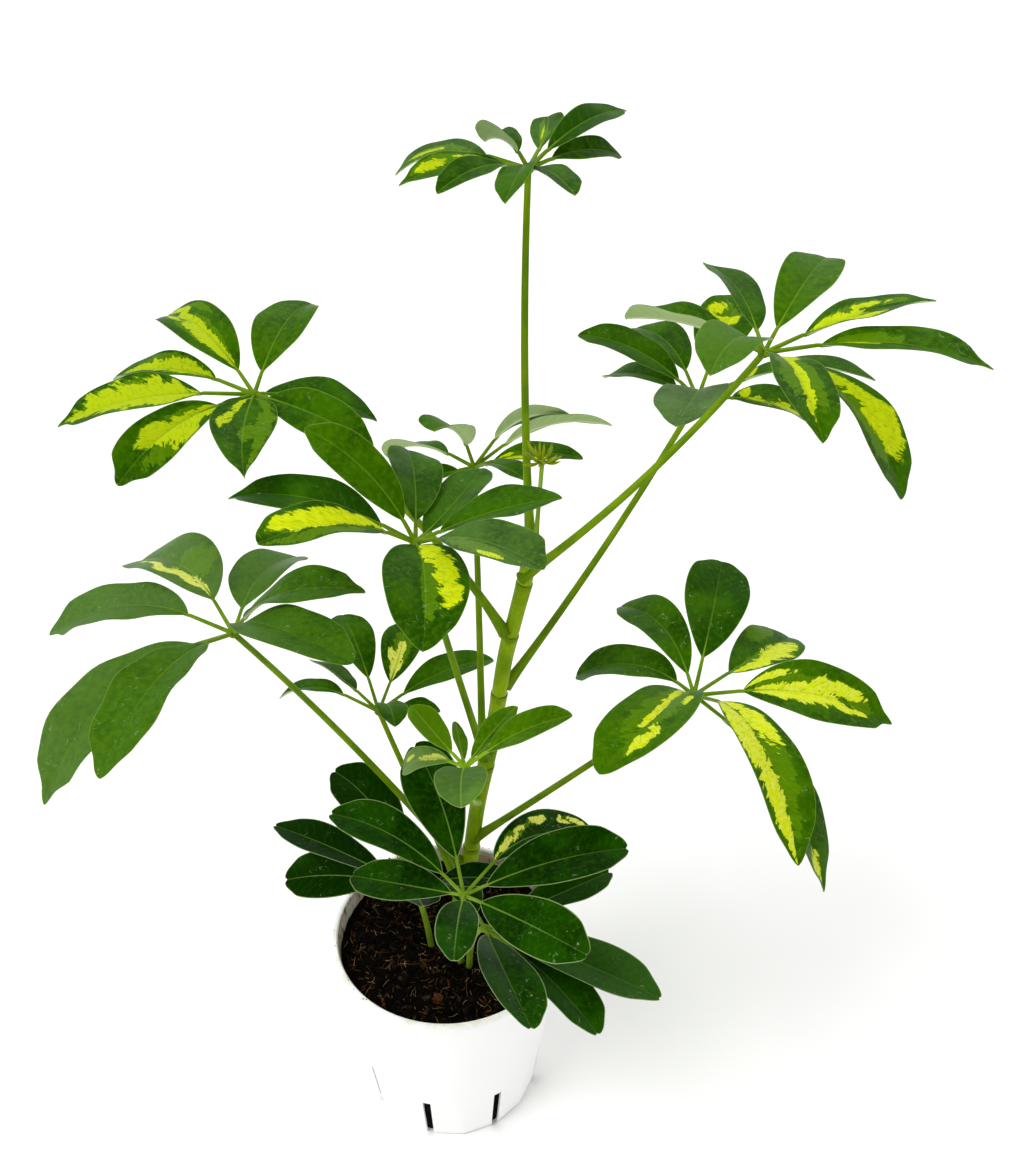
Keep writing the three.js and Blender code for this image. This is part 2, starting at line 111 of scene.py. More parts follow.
def makeLight():
    for name in ("key", "back"):
        source, strength, width = view[name]
        lamp = bpy.data.lights.new(name, "SUN")
        lamp.energy = strength
        lamp.angle = math.radians(width)
        light = bpy.data.objects.new(name, lamp)
        light.rotation_euler = Vector(source).to_track_quat("Z", "Y").to_euler()
        scene.collection.objects.link(light)
    sky = bpy.data.worlds.new("white room light")
    sky.use_nodes = True
    back = sky.node_tree.nodes["Background"]
    back.inputs["Color"].default_value = (1, 1, 1, 1)
    back.inputs["Strength"].default_value = view["sky"]
    scene.world = sky
    scene.view_settings.view_transform = "Standard"


def makeFloor():
    reach = view["floorReach"]
    mesh = bpy.data.meshes.new("floor")
    corners = [(-reach, -reach, 0), (reach, -reach, 0), (reach, reach, 0), (-reach, reach, 0)]
    mesh.from_pydata(corners, [], [(0, 1, 2, 3)])
    floor = bpy.data.objects.new("floor", mesh)
    scene.collection.objects.link(floor)
    # White card: matte paper, with a faint tooth.
    material, tree = startMaterial("white card")
    grain = addNode(tree, "TexNoise", {"Scale": 1 / (view["cardGrain"] * mm), "Detail": 3.0})
    dark, light = map(srgb, view["card"])
    tint = addNode(tree, "Mix", {0: grain, 6: dark, 7: light}, **blend)
    finishMaterial(tree, {"Base Color": tint, "Roughness": 0.9})
    mesh.materials.append(material)


makeCamera()
makeLight()
makeFloor()
print("camera, light and floor")

# Meshes. A shape collects points, faces and, for each point, the notes that the materials read,
# three numbers each. On a leaf, place is mm along, mm across and mm from the edge. On a stem it is
# mm along, mm around and mm above the nearest scar. marks is how far inside a yellow patch, how
# far inside a light green one, and a tone. paint is cream, brightness and dried drops. The fourth
# note starts with the share of painted sheen, a greyish reflection painted into the leaf's colour.

noteNames = ("place", "marks", "paint", "sheen")
plain = (0.0, 0.0, 0.0)
upward = np.array([0.0, 0.0, 1.0])
noScar = 99                  # mm, for points with no scar near
noPatch = -1.0
onTop, onUnder, onStalk = 0, 1, 2          # slots of a frond's three materials


def unit(a):
    return a / np.linalg.norm(a, axis=-1, keepdims=True)


def heading(turn, rise):
    a, e = np.broadcast_arrays(np.radians(turn), np.radians(rise))
    return np.stack([np.cos(e) * np.cos(a), np.cos(e) * np.sin(a), np.sin(e)], axis=-1)


def newShape():
    return {"count": 0, "points": [], "faces": [], "slots": [], **{key: [] for key in noteNames}}


def addPoints(shape, points, *notes):
    points = np.asarray(points, float).reshape(-1, 3)
    start = shape["count"]
    shape["points"].append(points)
    given = dict(zip(noteNames, notes))
    for key in noteNames:
        shape[key].append(np.broadcast_to(given.get(key, plain), points.shape))
    shape["count"] += len(points)
    return start


def addFaces(shape, faces, slot):
    shape["faces"].extend(faces)
    shape["slots"].extend([slot] * len(faces))


def gridFaces(start, rows, columns, wrap=False, flip=False):
    index = start + np.arange(rows * columns).reshape(rows, columns)
    after = np.roll(index, -1, axis=1) if wrap else index[:, 1:]
    here = index if wrap else index[:, :-1]
    faces = np.stack([here[:-1], after[:-1], after[1:], here[1:]], axis=-1).reshape(-1, 4)
    return (faces[:, ::-1] if flip else faces).tolist()


def makePiece(name, shape, materials, nodes=()):
    mesh = bpy.data.meshes.new(name)
    points = np.concatenate(shape["points"])
    mesh.from_pydata((points * mm).tolist(), [], shape["faces"])
    mesh.polygons.foreach_set("material_index", shape["slots"])
    mesh.polygons.foreach_set("use_smooth", [True] * len(shape["faces"]))
    for key in noteNames:
        values = np.concatenate(shape[key]).astype(np.float32)
        mesh.attributes.new(key, "FLOAT_VECTOR", "POINT").data.foreach_set("vector", values.ravel())
    for material in materials:
        mesh.materials.append(material)
    mesh.update()
    piece = bpy.data.objects.new(name, mesh)
    scene.collection.objects.link(piece)
    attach(piece, "root")
    if nodes:
        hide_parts(*nodes)
    return piece


def keepCreases(piece, angle):
    work = bmesh.new()
    work.from_mesh(piece.data)
    for edge in work.edges:
        edge.smooth = edge.calc_face_angle(0) < math.radians(angle)
    work.to_mesh(piece.data)
    work.free()


# A round stem along a path, closed at both ends.
def addTube(shape, path, radii, sides, slot, tone, scars=()):
    path = np.asarray(path, float)
    radii = np.broadcast_to(radii, len(path))
    ahead = unit(np.gradient(path, axis=0))
    hint = np.array([0.0, -1.0, 0.0]) if abs(ahead[0][2]) > 0.95 else upward
    side = unit(np.cross(ahead[0], hint))
    angles = np.arange(sides) * 2 * np.pi / sides
    along = np.concatenate([[0], np.cumsum(np.linalg.norm(np.diff(path, axis=0), axis=1))])
    rings = []
    place = []
    for i, centre in enumerate(path):
        side = unit(side - ahead[i] * side.dot(ahead[i]))
        top = np.cross(ahead[i], side)
        ring = np.outer(np.cos(angles), side) + np.outer(np.sin(angles), top)
        rings.append(centre + ring * radii[i])
        scar = min((centre[2] - z for z in scars), key=abs, default=noScar)
        around = angles * radii[i]
        place.append(np.stack([np.full(sides, along[i]), around, np.full(sides, scar)], axis=-1))
    marks = (noPatch, noPatch, tone)
    start = addPoints(shape, rings, np.concatenate(place), marks)
    addFaces(shape, gridFaces(start, len(path), sides, wrap=True), slot)
    for row, flip in ((0, True), (len(path) - 1, False)):
        middle = addPoints(shape, path[row], (along[row], 0, noScar), marks)
        ring = start + row * sides + np.arange(sides)
        after = np.roll(ring, -1)
        pair = (after, ring) if flip else (ring, after)
        addFaces(shape, [(middle, int(a), int(b)) for a, b in zip(*pair)], slot)


# The knob that leaflets spring from, a little flatter than round.
def addKnob(shape, centre, radius, rows, slot, tone):
    ball = centre + np.outer(np.cos(np.linspace(np.pi, 0, rows)), [0, 0, 0.8 * radius])
    addTube(shape, ball, radius * np.sin(np.linspace(0.05, np.pi - 0.05, rows)), 12, slot, tone)


def bezier(points, count, crowding):
    a, b, c = (np.asarray(p, float) for p in points)
    t = np.linspace(0, 1, count)[:, None] ** crowding
    return (1 - t) ** 2 * a + 2 * t * (1 - t) * b + t ** 2 * c


# Leaf blades

blade = {
    "rows": 40,              # from base to tip
    "crowding": 0.9,         # how much the rows gather at base and tip
    "fold": 13,              # degrees that each half rises from the midrib
    "thickness": 0.45, "edgeThickness": 0.16,
    "leastHalf": (0.6, 0.3),               # half width at the base and at the tip
    "hookFrom": 0.72,        # share of the length past which a hook turns the tip
    "pointFrom": 0.83, "pointReach": 0.11, "point": 0.15,       # narrowing towards the tip
    # waves along each edge, finer ruffles at its rim, and swellings between the side veins
    "waves": 1.5, "waveHeight": 0.75,
    "ruffles": 3.6, "ruffleHeight": 0.1,
    "cheekPitch": 7.5, "cheekSlant": 0.7, "cheekHeight": 0.05,
    "ribDepth": 0.8, "ribHalf": 0.75,      # midrib standing out below
    "grooveDepth": 0.22, "grooveHalf": 0.55,                    # midrib sunk in above
    "notchDepth": 1.3, "notchHalf": 1.5, "notchReach": 4.5,     # in the tips of dark leaves
    "stalkRadius": 0.95,
    "lightBorder": 0.3,      # how far light green reaches out around yellow
}
# a leaflet's usual share of each, where the frond or the leaflet gives none; the last is painted sheen
usualPaint = {"cream": 0.3, "bright": 0, "drops": 1, "wax": 0}
halfRows = np.array([0, 0.045, 0.1, 0.19, 0.31, 0.44, 0.57, 0.7, 0.82, 0.92, 0.98, 1.0])
acrossRows = np.concatenate([-halfRows[:0:-1], halfRows])


def halfWidth(v, row, point):
    width, tip, base = row[6], row[8], row[9]
    peak = base / (base + tip)
    full = peak ** base * (1 - peak) ** tip
    half = 0.5 * width * v ** base * (1 - v) ** tip / full
    half = np.maximum(half, np.where(v < 0.5, *blade["leastHalf"]))
    narrow = np.clip((v - blade["pointFrom"]) / blade["pointReach"], 0, 1)
    return half * (1 - point * narrow ** 2 * (3 - 2 * narrow))


# The line of the midrib, and at each of its rows the directions ahead, across and out of the face.
def midrib(start, row, hook, v):
    turn, rise, droop, sweep, _, length, _, roll = row[:8]
    turns = turn + sweep * v + hook * np.clip((v - blade["hookFrom"]) / (1 - blade["hookFrom"]), 0, 1) ** 2
    rises = rise - droop * v
    steps = heading((turns[1:] + turns[:-1]) / 2, (rises[1:] + rises[:-1]) / 2)
    steps = steps * (np.diff(v) * length)[:, None]
    centre = start + np.vstack([np.zeros(3), np.cumsum(steps, axis=0)])
    ahead = heading(turns, rises)
    side = unit(np.cross(ahead, upward))
    lean = math.radians(roll)
    across = side * math.cos(lean) + np.cross(side, ahead) * math.sin(lean)
    return centre, ahead, across, np.cross(across, ahead)


def patchField(patches, v, s):
    field = np.full(np.broadcast(v, s).shape, noPatch)
    for middle, across, reach, spread in patches:
        spot = 1 - ((v - middle) / reach) ** 2 - ((s - across) / spread) ** 2
        field = np.maximum(field, spot)
    return np.clip(field, noPatch, 1)


def leafPaint(frond, number, special, tone, v, s):
    yellow = patchField(frond.get("yellow", {}).get(number, []), v, s)
    light = patchField(frond.get("light", {}).get(number, []), v, s)
    light = np.maximum(light, np.where(yellow > noPatch, yellow + blade["lightBorder"], noPatch))
    marks = np.stack([yellow, light, np.full_like(yellow, tone)], axis=-1).reshape(-1, 3)
    # the last share is the painted sheen, a greyish reflection painted into the leaf's colour
    *paint, wax = (special.get(key, frond.get(key, usual)) for key, usual in usualPaint.items())
    return marks, paint, (wax, 0, 0)


def addBlade(shape, start, row, order, frond, tone):
    length, width = row[5], row[6]
    number = order + 1
    special = frond.get("special", {}).get(number, {})
    u = np.linspace(0, 1, blade["rows"] + 1)
    v = (1 - blade["crowding"]) * u + blade["crowding"] * (1 - np.cos(np.pi * u)) / 2
    centre, ahead, across, face = midrib(start, row, special.get("hook", 0), v)
    half = halfWidth(v, row, special.get("point", blade["point"]))[:, None]
    v = v[:, None]
    s = acrossRows[None, :]
    x = s * half
    arm = np.abs(s)

    # each half folds up, steeper near the midrib, and has waves of its own
    phase = np.where(s > 0, order * 1.7, order * 2.3 + 2)
    waves = blade["waveHeight"] * np.sin(2 * np.pi * blade["waves"] * v + phase) * arm ** 1.6
    ruffles = np.sin(2 * np.pi * blade["ruffles"] * v + 2.1 * phase) * arm ** 3
    waves = waves + special.get("ruffle", blade["ruffleHeight"]) * ruffles
    veins = (v * length - blade["cheekSlant"] * np.abs(x)) / blade["cheekPitch"]
    cheeks = blade["cheekHeight"] * np.sin(2 * np.pi * veins + phase) * arm * (1 - arm ** 4)
    fold = math.radians(special.get("fold", blade["fold"]))
    lift = half * math.sin(fold) * (1.35 * arm - 0.35 * arm ** 2)
    lift = lift + half / (0.5 * width) * (frond["wave"] * waves + cheeks)
    groove = blade["grooveDepth"] * np.exp(-(x / blade["grooveHalf"]) ** 2) * (1 - v) ** 0.5
    rib = blade["ribDepth"] * (1 - 0.85 * v) * np.exp(-(x / blade["ribHalf"]) ** 2)
    cushion = (blade["thickness"] - blade["edgeThickness"]) * (1 - arm ** 6)
    pull = np.zeros_like(x)
    if frond.get("notched", False):
        near = np.clip(1 - (1 - v) * length / blade["notchReach"], 0, 1) ** 1.5
        pull = near * blade["notchDepth"] * np.clip(1 - np.abs(x) / blade["notchHalf"], 0, 1)

    def surface(height):
        flat = centre[:, None, :] + across[:, None, :] * (x * math.cos(fold))[..., None]
        return flat + face[:, None, :] * height[..., None] - ahead[:, None, :] * pull[..., None]

    upper = surface(lift - groove)
    lower = surface(lift - blade["edgeThickness"] - cushion - rib)
    rows, columns = x.shape
    # mm from the nearest edge, which is the tip itself at the end of the blade
    edge = np.minimum(half * (1 - arm), 3.0 * np.sqrt((1 - v) * length))
    place = np.stack([np.broadcast_to(v * length, x.shape), x, edge], axis=-1).reshape(-1, 3)
    notes = (place, *leafPaint(frond, number, special, tone, v, s))
    first = addPoints(shape, upper, *notes)
    second = addPoints(shape, lower, *notes)
    addFaces(shape, gridFaces(first, rows, columns), onTop)
    addFaces(shape, gridFaces(second, rows, columns, flip=True), onUnder)
    high = first + np.arange(rows * columns).reshape(rows, columns)
    low = high + second - first
    rim = []
    for side, flip in ((np.s_[:, -1], False), (np.s_[:, 0], True), (0, False), (-1, True)):
        a, b = high[side], low[side]
        strip = np.stack([a[:-1], b[:-1], b[1:], a[1:]], axis=-1)
        rim.extend((strip[:, ::-1] if flip else strip).tolist())
    addFaces(shape, rim, onTop)
    return centre - face * 0.5


# A leaflet's own stalk runs on a little way under its blade.
def addLeaflet(shape, hub, row, order, frond, tone):
    base = hub + heading(row[0], row[1]) * row[4]
    under = addBlade(shape, base, row, order, frond, tone)
    run = [hub + (base - hub) * t for t in np.linspace(0, 0.94, 7)] + list(under[3:12:4])
    shares = np.array([*np.linspace(1, 0.82, 7), 0.75, 0.6, 0.35])
    addTube(shape, run, blade["stalkRadius"] * shares, 8, onStalk, tone)


# Fronds. A stalk runs from its foot past a bend to the hub. Each leaflet is turn, rise, droop,
# sweep in degrees, then stalk, length, width in mm, then roll in degrees, then how fast the
# outline closes at the tip and at the base, less being rounder. Yellow and light green patches
# are listed by leaflet: middle along and across the blade, then reach along and across. Across
# runs from -1 at the left edge to 1 at the right one, seen from the hub. special has a
# leaflet's own hook and fold in degrees, how much its tip narrows to a point, how high its edge
# is ruffled, and its share of cream, bright, drops and painted sheen, a greyish painted reflection.
fronds = [
    {
        "name": "top_frond", "node": "frond_top", "slot": "leaf", "look": "upper", "seed": 3,
        "stalk": [(41, 7, 350), (36, 12, 430), (39, 30, 504.2)],
        "wave": 0.8, "cream": 0.15,
        "special": {1: {"cream": -0.3, "wax": 0.1, "point": 0.45}, 2: {"point": 0.4},
                    7: {"bright": -0.5, "point": 0.5}, 8: {"cream": -0.5}, 9: {"fold": 25}},
        "leaflets": [
            (167.9, 13.8, 58.1, 1.1, 16, 38.5, 15.6, 6.9, 0.78, 0.8),
            (199, 16, 42, -3, 9.5, 41, 16.7, 5, 0.78, 0.8),
            (230, 21, 46, -7, 13, 36, 14, 8, 0.6, 0.8),
            (266, 28, 51, -14, 5.4, 44, 16.4, -22, 0.7, 0.8),
            (288, 22, 36, 7, 6.6, 38, 14, 7, 0.55, 0.8),
            (35, 9, 39, 9, 10.7, 37, 13, -26, 0.6, 0.8),
            (40, 28, 45, 13, 10.5, 47, 14, -13, 0.78, 0.8),
            (74, 10, 14, 18, 15, 34, 14, 15, 0.5, 0.8),
            (151.1, 53.9, 98.4, -8, 7, 17, 20, -21.5, 0.6, 0.8),
        ],
        "yellow": {
            1: [(0.6, 0.25, 0.18, 0.1), (0.75, 0.32, 0.08, 0.1)],
            2: [(0.65, 0.35, 0.15, 0.35), (0.35, 0.55, 0.12, 0.16)],
            8: [(0.4, -0.2, 0.2, 0.06)],
        },
        "light": {
            1: [(0.5, 0.25, 0.35, 0.3)],
            2: [(0.6, 0.45, 0.3, 0.4)],
            8: [(0.25, 0.0, 0.28, 0.35), (0.6, -0.3, 0.25, 0.15)],
        },
    },
    {
        "name": "upper_left_frond", "node": "frond_upper_left", "slot": "leaf", "look": "upper",
        "seed": 5,
        "stalk": [(30, 3, 308), (-8, 7, 382), (-69, 15, 419)],
        "wave": 1.1, "cream": -0.1,
        "special": {2: {"hook": -25, "bright": 0.4}, 4: {"point": 0.5}, 5: {"point": 0.4},
                    6: {"point": 0.3}, 7: {"bright": -0.4}},
        "leaflets": [
            (131, 31, 59, -4, 12.3, 63, 24.4, 7, 0.62, 0.8),
            (78, 26, 42, -1, 11.2, 56.8, 24.4, 1, 0.62, 0.8),
            (156.5, 10.2, 40.7, 7.1, 17.7, 51.5, 21, 1.2, 0.68, 0.8),
            (194, 9, 37, -8, 20.6, 58, 29.6, 2, 0.78, 0.8),
            (224.9, 5.3, 41.6, 7.7, 17.2, 52, 20.9, 25.8, 0.5, 0.76),
            (267, 2, 11, 17, 4, 54, 26.2, 3, 1.05, 0.6),
            (356, 9, 48, 5, 4.1, 47, 22.7, 1, 0.78, 0.8),
            (321, 8, 23, 8, 8, 54, 19.5, -26, 0.78, 0.8),
        ],
        "yellow": {
            1: [(0.3, -0.15, 0.32, 0.38), (0.62, 0.05, 0.22, 0.18), (0.85, 0.35, 0.12, 0.25),
                (0.78, -0.35, 0.18, 0.1)],
            3: [(0.3, 0.1, 0.32, 0.6), (0.6, 0.1, 0.25, 0.3)],
            4: [(0.3, -0.1, 0.36, 0.8), (0.62, 0.1, 0.25, 0.75), (0.82, -0.1, 0.14, 0.5)],
            5: [(0.3, -0.15, 0.3, 0.5), (0.38, -0.6, 0.17, 0.35), (0.55, 0.2, 0.14, 0.4),
                (0.08, 0.2, 0.1, 0.25)],
            6: [(0.14, 0.38, 0.12, 0.12), (0.28, 0.5, 0.1, 0.12), (0.4, 0.7, 0.08, 0.12)],
        },
        "light": {
            1: [(0.45, -0.5, 0.2, 0.14), (0.4, 0.3, 0.24, 0.12), (0.68, 0.7, 0.12, 0.14)],
            3: [(0.15, -0.4, 0.15, 0.4), (0.5, 0.6, 0.25, 0.3)],
            4: [(0.5, 0.3, 0.5, 0.5)],
            5: [(0.6, -0.5, 0.2, 0.45), (0.25, 0.4, 0.2, 0.2)],
            6: [(0.5, -0.65, 0.48, 0.28), (0.5, -0.15, 0.12, 0.3)],
        },
    },
    {
        "name": "middle_frond", "node": "frond_middle", "slot": "leaf", "look": "upper", "seed": 8,
        "stalk": [(20, 1, 236), (10, -18, 300), (-3, -45, 389)],
        "wave": 1.1, "cream": 0.4,
        "special": {1: {"bright": 0.3}, 5: {"bright": 0.2, "wax": 0.07, "point": 0.3},
                    8: {"bright": -0.5, "point": 0.4}},
        "leaflets": [
            (156.4, 62.1, 52.9, -4.8, 9.8, 51.5, 18, 29.7, 0.65, 0.8),
            (92, 14, 30, 9, 11, 55, 23.4, -22, 0.5, 0.8),
            (59.2, 4.7, 17.6, 20.8, 5.3, 59.1, 20.9, 10.2, 0.65, 0.8),
            (18, 18, 17, -9, 10, 48, 25.6, 9, 0.6, 0.8),
            (317, 32, 38, 0, 13.6, 55, 25, -1, 0.5, 0.8),
            (283, 19, 39, -16, 4, 63, 31.7, 7, 0.6, 0.6),
            (205.3, 35.9, 45.2, 9.1, 13.5, 51.6, 24.6, 1.5, 0.49, 0.8),
            (169.7, 27.7, 53.2, -9.6, 14.3, 64, 25.2, 0, 0.78, 0.8),
        ],
        "yellow": {
            5: [(0.7, 0.75, 0.12, 0.14)],
            6: [(0.15, -0.35, 0.17, 0.35), (0.4, -0.5, 0.22, 0.28), (0.6, -0.6, 0.14, 0.25)],
            7: [(0.12, 0.6, 0.12, 0.35), (0.35, 0.4, 0.25, 0.38), (0.62, 0.25, 0.22, 0.42),
                (0.78, 0.45, 0.12, 0.35)],
        },
        "light": {
            5: [(0.5, 0.55, 0.36, 0.35), (0.2, 0.15, 0.15, 0.2)],
            6: [(0.5, -0.12, 0.28, 0.22)],
            7: [(0.6, -0.6, 0.35, 0.35)],
        },
    },
    {
        "name": "back_frond", "node": "frond_back", "slot": "leaf", "look": "upper", "seed": 13,
        "stalk": [(19, 10, 226), (18, 32, 300), (16, 60, 358)],
        "wave": 0.8, "cream": 0.3,
        "leaflets": [
            (148.5, 11.9, 64.9, -3.3, 14, 40, 21, -24.9, 0.69, 0.8),
            (196.8, 74.7, 74.9, 51.3, 12.7, 26.6, 26, -10.5, 0.5, 0.8),
            (-1, 57, 77, 3, 17.6, 38, 13, 56, 0.78, 0.8),
            (2, 40, 54, -9, 18, 50.3, 13.5, 50, 0.78, 0.8),
            (17, 11, 34, -8, 9.1, 43, 15.2, -5, 0.6, 0.8),
            (296, 34, 37, 10, 15.3, 36.4, 14.9, 5, 0.78, 0.8),
            (165, -20, 10, 0, 8, 24, 12, 10, 0.78, 0.8),
        ],
        "yellow": {
            5: [(0.2, 0.45, 0.18, 0.28), (0.42, 0.75, 0.14, 0.2), (0.14, -0.3, 0.1, 0.2)],
        },
        "light": {
            5: [(0.25, 0.2, 0.25, 0.6)],
        },
    },
    {
        "name": "upper_right_frond", "node": "frond_upper_right", "slot": "leaf", "look": "upper",
        "seed": 21,
        "stalk": [(37, 4, 337), (87, -4, 387), (124.5, -15, 452)],
        "wave": 1.2, "cream": 0.2,
        "special": {1: {"bright": 0.5}, 2: {"point": 0.5}, 3: {"fold": 32},
                    4: {"bright": 1.0, "wax": 0.04}, 5: {"point": 0.5},
                    6: {"bright": 0.3, "cream": -0.3, "point": 0.5}, 7: {"point": 0.3},
                    8: {"point": 0.25}},
        "leaflets": [
            (57.9, 27.1, 42.6, 9, 12, 59.7, 22.3, -4.8, 0.53, 0.8),
            (98, 22, 34, 15, 11, 54, 19.6, -19, 0.78, 0.8),
            (146.3, 10.5, 33, -6.2, 12.7, 47.6, 20, -15, 0.63, 0.8),
            (233.2, 42, 72.3, 10.2, 11.4, 41.5, 24.9, -0.1, 0.7, 0.65),
            (13, 21, 25, 2, 16.2, 52, 22.5, 11, 0.78, 0.8),
            (346, 16, 36, -1, 20.5, 61, 23.7, 2, 0.78, 0.8),
            (321, 0, 64, -18, 10.8, 67, 27.4, 14, 0.6, 0.8),
            (275, 23, 57, 5, 20, 54, 22, 11, 0.7, 0.8),
        ],
        "yellow": {
            5: [(0.22, 0.1, 0.25, 0.6), (0.5, -0.4, 0.17, 0.14), (0.4, 0.7, 0.15, 0.3)],
            6: [(0.15, 0.15, 0.1, 0.16), (0.26, 0.3, 0.08, 0.1)],
            7: [(0.15, -0.2, 0.18, 0.3), (0.4, -0.45, 0.25, 0.25), (0.62, -0.4, 0.16, 0.5)],
            8: [(0.08, -0.3, 0.12, 0.6), (0.35, -0.12, 0.22, 0.16), (0.55, -0.05, 0.18, 0.16),
                (0.75, 0.1, 0.1, 0.12)],
        },
        "light": {
            5: [(0.5, -0.4, 0.3, 0.25)],
            6: [(0.25, -0.2, 0.2, 0.4)],
            7: [(0.55, 0.3, 0.25, 0.5)],
            8: [(0.42, 0.35, 0.28, 0.4), (0.45, -0.4, 0.35, 0.2)],
        },
    },
    {
        "name": "right_inner_frond", "node": "frond_right_inner", "slot": "leaf", "look": "upper",
        "seed": 34,
        "stalk": [(30, 6, 275), (76, 28, 336), (112, 50, 398)],
        "wave": 0.9, "cream": 0.3,
        "special": {1: {"bright": -0.2}, 4: {"bright": 0.4, "wax": 0.2}},
        "leaflets": [
            (145, 32, 42, 10, 11.2, 51, 20, 7, 0.6, 0.8),
            (104, 19, 39, 18, 17, 47.5, 21.4, 2, 0.55, 0.8),
            (66.1, 31.1, 26.4, -1.6, 16.7, 46.9, 28.9, 4.5, 0.5, 0.71),
            (263, 39, 57, -22, 16.2, 49.5, 29.6, -9, 0.5, 0.8),
            (133, 4, 41, -9, 12, 48, 18, 4, 0.6, 0.8),
            (351, 31, 47, -9, 18.7, 57.7, 23.8, 13, 0.78, 0.8),
            (12, -4, 42, 1, 15.4, 48, 21, -8, 0.78, 0.8),
        ],
        "yellow": {
            3: [(0.68, -0.5, 0.1, 0.3), (0.58, 0.0, 0.06, 0.3)],
            6: [(0.07, -0.6, 0.08, 0.6)],
            7: [(0.14, -0.6, 0.08, 0.5), (0.25, 0.1, 0.1, 0.25), (0.52, 0.4, 0.2, 0.52)],
        },
        "light": {
            3: [(0.62, -0.2, 0.18, 0.5)],
            7: [(0.5, 0.3, 0.36, 0.5)],
        },
    },
    {
        "name": "left_frond", "node": "frond_left", "slot": "leaf", "look": "upper", "seed": 55,
        "stalk": [(7, 4, 161), (-40, -6, 256), (-80, -30, 334)],
        "wave": 1.4, "cream": 0.9, "bright": 0.4, "wax": 0.02,
        "special": {1: {"bright": 0.6, "wax": 0.1, "point": 0.4, "ruffle": 0.3},
                    2: {"bright": 0.6, "wax": 0.12}, 3: {"bright": 0.7, "wax": 0.06},
                    4: {"point": 0.4},
                    6: {"bright": 0.7, "wax": 0.08, "point": 0.5, "ruffle": 0.55},
                    7: {"point": 0.3, "ruffle": 0.55}},
        "leaflets": [
            (148, -1, 33, 41, 24.8, 73, 28.8, 3, 0.6, 0.8),
            (123, 16, 53, 24, 19.6, 63, 37, -3, 0.55, 0.8),
            (87, 2, 32, -21, 16.4, 63, 29.3, 5, 0.55, 0.8),
            (336, 57, 67, 17, 11.4, 61.6, 22.5, -1, 0.6, 0.8),
            (300, 47, 63, 35, 12, 76, 27.5, 3, 0.5, 0.8),
            (223.5, 13, 71, 11, 18, 88, 28, 4, 0.65, 0.8),
            (248.6, 26, 63, 0, 19.7, 77.6, 28, -8, 0.6, 0.8),
        ],
        "yellow": {
            2: [(0.12, -0.05, 0.14, 0.16), (0.28, -0.35, 0.14, 0.18), (0.42, -0.6, 0.1, 0.14),
                (0.56, -0.42, 0.1, 0.1), (0.7, -0.5, 0.06, 0.08)],
        },
        "light": {
            2: [(0.38, 0.4, 0.15, 0.6)],
        },
    },
    {
        "name": "left_inner_frond", "node": "frond_left_inner", "slot": "leaf", "look": "upper",
        "seed": 89,
        "stalk": [(5, 8, 142), (-18, 26, 195), (-32, 35, 234.1)],
        "wave": 0.8, "cream": 0.9,
        "leaflets": [
            (155, 11, 56, 18, 20, 38.5, 16.7, -15, 0.6, 0.8),
            (133, 8, 30, -2, 18, 40, 18, -34, 0.78, 0.8),
            (111, 27, 38, 0, 18.5, 47, 21, -7, 0.5, 0.8),
            (74, 17, 20, 18, 17.5, 43, 21.5, -2, 0.55, 0.8),
            (25, 27, 44, 1, 14.7, 50, 22, 5, 0.62, 0.8),
            (291, 50, 56, -11, 19, 33, 15.6, 10, 0.6, 0.8),
            (18, 1, 43, -7, 10.5, 22, 9, -10, 0.6, 0.8),
        ],
        "yellow": {
            4: [(0.2, -0.05, 0.24, 0.42), (0.5, 0.02, 0.18, 0.22), (0.38, -0.45, 0.14, 0.15)],
        },
        "light": {
            4: [(0.45, 0.0, 0.4, 0.5)],
        },
    },
    {
        "name": "right_frond", "node": "frond_right", "slot": "leaf", "look": "upper", "seed": 144,
        "stalk": [(14, 4, 178), (62, -9, 234), (109.5, -30, 301)],
        "wave": 1.2, "cream": 0.6, "bright": 0.1,
        "special": {1: {"drops": 2.5}, 2: {"drops": 2.5}, 3: {"bright": -0.3, "drops": 2.5},
                    5: {"point": 0.5}, 7: {"point": 0.4}, 8: {"bright": 0.5}},
        "leaflets": [
            (122, -6, 38, 38, 11.8, 61, 24, 7, 0.5, 0.8),
            (100, 15, 48, 23, 11, 69, 22, 12, 0.5, 0.8),
            (74, 15, 16, 4, 20, 63, 30, -10, 0.5, 0.8),
            (46, -6, 20, 12, 25, 60, 27, -8, 0.5, 0.8),
            (362, 5, 39, -8, 20.5, 68.5, 32, -13, 0.76, 0.8),
            (290, 33, 89, -8, 24.6, 86, 26, 16, 0.7, 0.8),
            (312, -7, 58, -13, 17, 83, 33, 32, 0.78, 0.8),
            (250, 43, 63, -25, 16.5, 81, 29.6, -8, 0.5, 0.8),
        ],
        "yellow": {
            4: [(0.2, 0.55, 0.22, 0.35), (0.55, 0.4, 0.24, 0.45)],
            5: [(0.14, -0.65, 0.2, 0.14), (0.35, 0.1, 0.32, 0.38), (0.6, -0.3, 0.18, 0.25),
                (0.68, 0.35, 0.12, 0.12)],
            6: [(0.2, -0.35, 0.28, 0.38), (0.3, 0.5, 0.4, 0.48), (0.7, 0.4, 0.28, 0.35)],
            7: [(0.85, 0.35, 0.1, 0.5)],
            8: [(0.74, -0.38, 0.12, 0.24), (0.5, 0.05, 0.2, 0.1), (0.3, 0.1, 0.14, 0.1),
                (0.14, 0.2, 0.1, 0.12), (0.36, -0.55, 0.06, 0.12)],
        },
        "light": {
            4: [(0.65, -0.7, 0.2, 0.4), (0.3, 0.1, 0.2, 0.2)],
            5: [(0.3, -0.4, 0.25, 0.15), (0.75, 0.0, 0.12, 0.4)],
